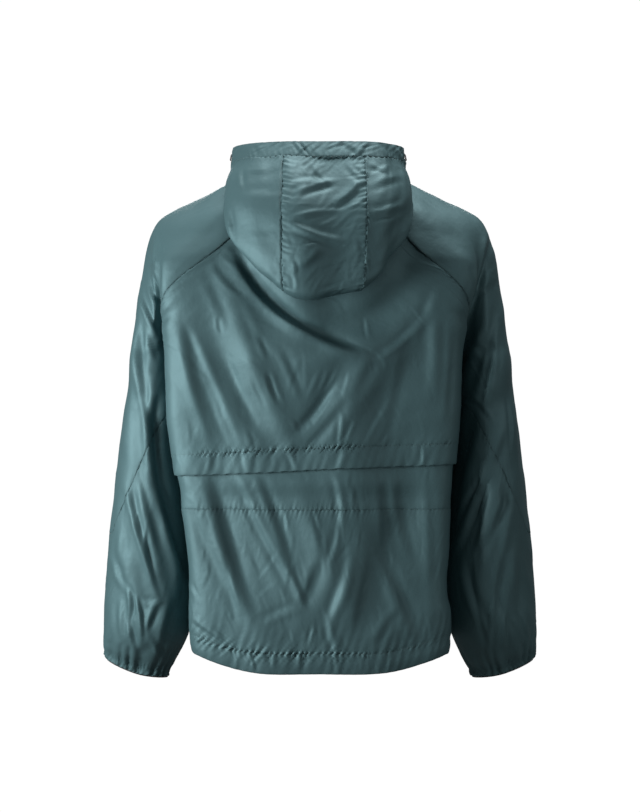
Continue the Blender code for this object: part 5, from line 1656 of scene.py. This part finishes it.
def nickel_finish(name, colour):
    """Tumbled nickel plate, finely scuffed."""
    made = Finish(name, colour, 0.42, 1.0)
    solid = made.object_places()
    scuffs = made.noise(solid, 700.0, 5.0, 0.7)
    tarnish = made.noise(solid, 220.0, 2.0)
    made.set("Base Color", made.blend(tarnish, scaled(colour, 0.72), colour))
    made.set("Roughness", scuffs * 0.28 + 0.32)
    made.set("Normal", made.bump(scuffs, 0.05 * MM, 0.4))
    return made.material


FINISHES = {}


def finish(name):
    """The jacket's finishes, each made once from the panel's colours."""
    if name not in FINISHES:
        colours = bpy.context.scene.windbreaker.colours
        make, title, colour, *rest = {
            "nylon": (nylon_finish, "satin_nylon", colours.nylon, colours.nylon_roughness),
            "thread": (thread_finish, "tonal_thread", colours.thread),
            "elastic": (ribbed_finish, "knitted_elastic", colours.trim, 620.0),
            "tape": (ribbed_finish, "zip_tape", colours.trim, 1100.0, 0.75),
            "coil": (ribbed_finish, "nylon_coil", colours.trim, 300.0, 0.45),
            "nickel": (nickel_finish, "plated_nickel", colours.metal),
        }[name]
        FINISHES[name] = make(title, tuple(colour), *rest)
    return FINISHES[name]


def repaint(node, name):
    """A solid that stays shown gets its finish in the slots it already has."""
    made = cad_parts[node]
    for k in range(len(made.material_slots)):
        made.material_slots[k].material = finish(name)


# ---------------------------------------------------------------- settings


class ClothSettings(bpy.types.PropertyGroup):
    pitch: bpy.props.FloatProperty(
        name="Grid pitch", description="Spacing of the cloth's grid on the back", default=2.3 * MM,
        unit="LENGTH", precision=4)
    hidden_pitch: bpy.props.FloatProperty(
        name="Front pitch", description="Spacing of the cloth's grid on the fronts", default=4.0 * MM,
        unit="LENGTH", precision=4)
    wall: bpy.props.FloatProperty(
        name="Wall", description="Thickness of a single layer", default=0.8 * MM, unit="LENGTH", precision=4)
    casing_wall: bpy.props.FloatProperty(
        name="Casing wall", description="Thickness of the hood's casing", default=1.6 * MM,
        unit="LENGTH", precision=4)
    folds: bpy.props.FloatProperty(name="Folds", description="Strength of the main folds", default=1.0)
    creases: bpy.props.FloatProperty(
        name="Creases", description="Strength of the placed creases", default=1.3)
    small_creases: bpy.props.FloatProperty(
        name="Small creases", description="Strength of the small seeded creases", default=1.7)
    puckers: bpy.props.FloatProperty(name="Puckers", description="Strength of the seam puckers", default=1.8)
    seed: bpy.props.IntProperty(name="Seed", description="Seed of the small creases", default=5)
    stitch: bpy.props.FloatProperty(
        name="Stitch", description="Length from one stitch to the next", default=3.0 * MM,
        unit="LENGTH", precision=4)
    thread: bpy.props.FloatProperty(
        name="Thread", description="Width of the sewing thread", default=0.55 * MM,
        unit="LENGTH", precision=5)
    coil: bpy.props.FloatProperty(
        name="Coil pitch", description="Length from one turn of the zip's coil to the next",
        default=1.6 * MM, unit="LENGTH", precision=4)


class ColourSettings(bpy.types.PropertyGroup):
    nylon: bpy.props.FloatVectorProperty(
        name="Nylon", description="Colour of the cloth", subtype="COLOR", default=(0.078, 0.158, 0.173),
        min=0, max=1)
    nylon_roughness: bpy.props.FloatProperty(
        name="Roughness", description="Roughness of the cloth", subtype="FACTOR", default=0.6, min=0, max=1)
    thread: bpy.props.FloatVectorProperty(
        name="Thread", description="Colour of the thread", subtype="COLOR", default=(0.050, 0.105, 0.105),
        min=0, max=1)
    trim: bpy.props.FloatVectorProperty(
        name="Trim", description="Colour of elastic, cord and zip", subtype="COLOR",
        default=(0.012, 0.013, 0.013), min=0, max=1)
    metal: bpy.props.FloatVectorProperty(
        name="Metal", description="Colour of eyelets and slider", subtype="COLOR", default=(0.62, 0.62, 0.60),
        min=0, max=1)


class StudioSettings(bpy.types.PropertyGroup):
    distance: bpy.props.FloatProperty(
        name="Camera distance", description="From the jacket's middle plane to the camera", default=3.0,
        unit="LENGTH")
    height: bpy.props.FloatProperty(
        name="Camera height", description="Height of the level camera", default=-0.309, unit="LENGTH")
    lens: bpy.props.FloatProperty(name="Lens", description="Focal length in millimetres", default=59.11)
    key: bpy.props.FloatProperty(
        name="Key light", description="Power of the key light", default=21.0, unit="POWER")
    fill: bpy.props.FloatProperty(
        name="Fill light", description="Power of the fill light", default=9.0, unit="POWER")
    top: bpy.props.FloatProperty(
        name="Top light", description="Power of the top light", default=60.0, unit="POWER")
    front: bpy.props.FloatProperty(
        name="Front light", description="Power of the light on the fronts", default=62.0, unit="POWER")
    surround: bpy.props.FloatProperty(
        name="Surround", description="Brightness of the soft light from all round", default=0.105)


class WindbreakerSettings(bpy.types.PropertyGroup):
    cloth: bpy.props.PointerProperty(type=ClothSettings)
    colours: bpy.props.PointerProperty(type=ColourSettings)
    studio: bpy.props.PointerProperty(type=StudioSettings)


# ---------------------------------------------------------------- operators


class Step(bpy.types.Operator):
    """What every step has in common: it runs on the scene's settings."""
    bl_options = {"REGISTER", "UNDO"}

    @property
    def cloth(self):
        return bpy.context.scene.windbreaker.cloth


class WINDBREAKER_OT_back(Step):
    """Cut and drape the upper back with its flap, the vent band and the lower back"""
    bl_idname = "windbreaker.back"
    bl_label = "Back"

    def execute(self, context):
        for make, flat, area in ((upper_back, (0.64, 0.57), 0.205), (vent_band, (0.60, 0.09), 0.051),
                                 (lower_back, (0.59, 0.235), 0.135)):
            declare(sew(make(self.cloth), self.cloth.wall), flat, area)
        return {"FINISHED"}


class WINDBREAKER_OT_fronts(Step):
    """Cut and drape the two fronts"""
    bl_idname = "windbreaker.fronts"
    bl_label = "Fronts"

    def execute(self, context):
        for side, tag in ((1, "left"), (-1, "right")):
            declare(sew(front(side, tag, self.cloth), self.cloth.wall), (0.33, 0.81), 0.175)
        return {"FINISHED"}


class WINDBREAKER_OT_sleeves(Step):
    """Cut and drape the raglan sleeves down to their gathered cuffs"""
    bl_idname = "windbreaker.sleeves"
    bl_label = "Sleeves"

    def execute(self, context):
        for side, tag in ((1, "left"), (-1, "right")):
            declare(sew(upper_sleeve(side, tag, self.cloth), self.cloth.wall), (0.60, 0.62), 0.174)
            lower = forearm(side, tag, self.cloth)
            sewn = sew(lower, self.cloth.wall, f"sleeve_{tag}_lower", f"cuff_{tag}")
            declare(sewn, (0.60, 0.42), 0.145)
        return {"FINISHED"}


class WINDBREAKER_OT_hood(Step):
    """Cut and drape the lowered hood and its casing"""
    bl_idname = "windbreaker.hood"
    bl_label = "Hood"

    def execute(self, context):
        flats = {"hood_left": ((0.48, 0.26), 0.050), "hood_right": ((0.47, 0.25), 0.045),
                 "hood_centre": ((0.12, 0.46), 0.049), "hood_band": ((0.84, 0.029), 0.0224)}
        for cut in hood_cuts(self.cloth):
            wall = self.cloth.casing_wall if cut.name == "hood_band" else self.cloth.wall
            flat, area = flats[cut.name]
            declare(sew(cut, wall), flat, area)
        return {"FINISHED"}


class WINDBREAKER_OT_stitching(Step):
    """Sew the rows of stitches that show"""
    bl_idname = "windbreaker.stitching"
    bl_label = "Stitching"

    def execute(self, context):
        tags = ("left", "right")
        fronts, lower = [CUTS[f"front_{tag}"] for tag in tags], CUTS["back_lower"]
        rows = {
            "flap_stitches": [CUTS["back_upper"].line("bottom", FLAP_STITCH)],
            "vent_stitches": [lower.line("top", 1.6 * MM)],
            "hem_stitches": [cut.line("bottom", casing_height(cut)) for cut in (lower, *fronts)],
            "hood_stitches": [CUTS["hood_band"].line("bottom", 1.5 * MM)]
            + [CUTS[f"hood_{tag}"].line("last", 2.6 * MM, 0.3) for tag in tags],
            "zip_stitches": [cut.line("first", 5 * MM) for cut in fronts],
        }
        for tag in tags:
            upper = CUTS[f"sleeve_{tag}_upper"]
            head = 0.94 * upper.closed_from / (upper.t.shape[1] - 1)
            lines = [upper.line(edge, 1.8 * MM, 0.0, head) for edge in ("first", "last")]
            rows[f"sleeve_{tag}_stitches"] = lines + [CUTS[f"sleeve_{tag}_lower"].line("bottom", 1.8 * MM)]
        for name, lines in rows.items():
            stitching(name, lines, self.cloth)
        return {"FINISHED"}


class WINDBREAKER_OT_zip(Step):
    """Lay the coil of the zip between its tapes and finish tapes, slider and tab"""
    bl_idname = "windbreaker.zip"
    bl_label = "Zip"

    def execute(self, context):
        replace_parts(zip_teeth(self.cloth), "zip_chain")
        for node in ("zip_tape_left", "zip_tape_right"):
            repaint(node, "tape")
        for node in ("zip_slider", "zip_pull"):
            repaint(node, "nickel")
        return {"FINISHED"}


class WINDBREAKER_OT_trims(Step):
    """Finish the cuff elastics and the held cords and eyelets of the hood"""
    bl_idname = "windbreaker.trims"
    bl_label = "Trims"

    def execute(self, context):
        for tag in ("left", "right"):
            repaint(f"cuff_elastic_{tag}", "elastic")
            repaint(f"hood_cord_{tag}", "elastic")
            for place in ("upper", "lower"):
                repaint(f"hood_eyelet_{tag}_{place}", "nickel")
        return {"FINISHED"}


def soft_light(name, place, target, size, power):
    """A round white lamp that faces a point and isn't seen itself."""
    lamp = bpy.data.lights.new(name, "AREA")
    lamp.shape, lamp.size, lamp.energy = "DISK", size, power
    made = bpy.data.objects.new(name, lamp)
    made.location = place
    made.rotation_euler = (Vector(target) - Vector(place)).to_track_quat("-Z", "Y").to_euler()
    made.visible_camera = False
    bpy.context.scene.collection.objects.link(made)


class WINDBREAKER_OT_studio(Step):
    """Set the pale floor, the white surround, the lights and the camera"""
    bl_idname = "windbreaker.studio"
    bl_label = "Studio"

    def execute(self, context):
        studio = context.scene.windbreaker.studio
        pale = Finish("pale_floor", (0.86, 0.86, 0.85), 0.75)
        pale.set("Roughness", pale.noise(pale.object_places(), 40.0, 3.0) * 0.1 + 0.7)
        pale.set("Emission Color", (1.0, 1.0, 1.0, 1.0))
        pale.set("Emission Strength", 0.4)
        bm = bmesh.new()
        bmesh.ops.create_circle(bm, cap_ends=True, segments=96, radius=2.0,
                                matrix=Matrix.Translation((0.0, 0.0, FLOOR_Z)))
        floor = put("floor", mesh_of("floor", bm, smooth=False), pale.material)
        white = Finish("white_surround", (1.0, 1.0, 1.0), 1.0)
        glow = white.add("ShaderNodeEmission", None, {"Strength": 1.02})
        white.feed(white.nodes["Material Output"].inputs["Surface"], glow)
        bm = bmesh.new()
        bmesh.ops.create_icosphere(bm, subdivisions=4, radius=9.0)
        surround = put("surround", mesh_of("surround", bm, smooth=False), white.material)
        for made in (floor, surround):
            made.visible_diffuse = made.visible_glossy = made.visible_transmission = False
        surround.visible_shadow = False
        soft_light("key_light", (1.2, 0.70, -0.30), (0.1, 0.1, -0.36), 0.7, studio.key)
        soft_light("fill_light", (-2.2, 1.9, 0.2), (-0.2, 0.0, -0.35), 1.6, studio.fill)
        soft_light("top_light", (-0.1, -0.2, 2.1), (0.0, 0.0, -0.1), 1.2, studio.top)
        soft_light("front_light", (0.1, -2.9, 0.7), (0.0, 0.0, -0.35), 1.6, studio.front)
        world = bpy.data.worlds.new("studio_surround")
        context.scene.world = world
        world.use_nodes = True
        background = world.node_tree.nodes["Background"].inputs
        background["Color"].default_value = (1.0, 1.0, 1.0, 1.0)
        background["Strength"].default_value = studio.surround
        context.scene.view_settings.view_transform = "Standard"
        camera = bpy.data.cameras.new("camera")
        camera.sensor_fit, camera.sensor_width, camera.lens = "AUTO", 24.0, studio.lens
        holder = bpy.data.objects.new("camera", camera)
        holder.location = (0.0, studio.distance, studio.height)
        holder.rotation_euler = (math.pi / 2, 0.0, math.pi)
        context.scene.collection.objects.link(holder)
        context.scene.camera = holder
        return {"FINISHED"}


class WINDBREAKER_PT_panel(bpy.types.Panel):
    """The steps and their settings in the sidebar"""
    bl_label = "Windbreaker"
    bl_idname = "WINDBREAKER_PT_panel"
    bl_space_type = "VIEW_3D"
    bl_region_type = "UI"
    bl_category = "Windbreaker"

    def draw(self, context):
        settings = context.scene.windbreaker
        groups = {"Cloth": settings.cloth, "Colours": settings.colours, "Studio": settings.studio}
        for title, group in groups.items():
            box = self.layout.box()
            box.label(text=title)
            for key in group.__annotations__:
                box.prop(group, key)
        for step in STEPS:
            self.layout.operator(step.bl_idname)


STEPS = (
    WINDBREAKER_OT_back, WINDBREAKER_OT_fronts, WINDBREAKER_OT_sleeves, WINDBREAKER_OT_hood,
    WINDBREAKER_OT_stitching, WINDBREAKER_OT_zip, WINDBREAKER_OT_trims, WINDBREAKER_OT_studio,
)
GROUPS = (ClothSettings, ColourSettings, StudioSettings, WindbreakerSettings)
CLASSES = GROUPS + STEPS + (WINDBREAKER_PT_panel,)


def register():
    for cls in CLASSES:
        bpy.utils.register_class(cls)
    bpy.types.Scene.windbreaker = bpy.props.PointerProperty(type=WindbreakerSettings)


def unregister():
    del bpy.types.Scene.windbreaker
    for cls in reversed(CLASSES):
        bpy.utils.unregister_class(cls)


def main():
    register()
    bpy.ops.windbreaker.studio()
    bpy.ops.windbreaker.back()
    bpy.ops.windbreaker.fronts()
    bpy.ops.windbreaker.sleeves()
    bpy.ops.windbreaker.hood()
    bpy.ops.windbreaker.stitching()
    bpy.ops.windbreaker.zip()
    bpy.ops.windbreaker.trims()


if __name__ == "__main__":
    main()
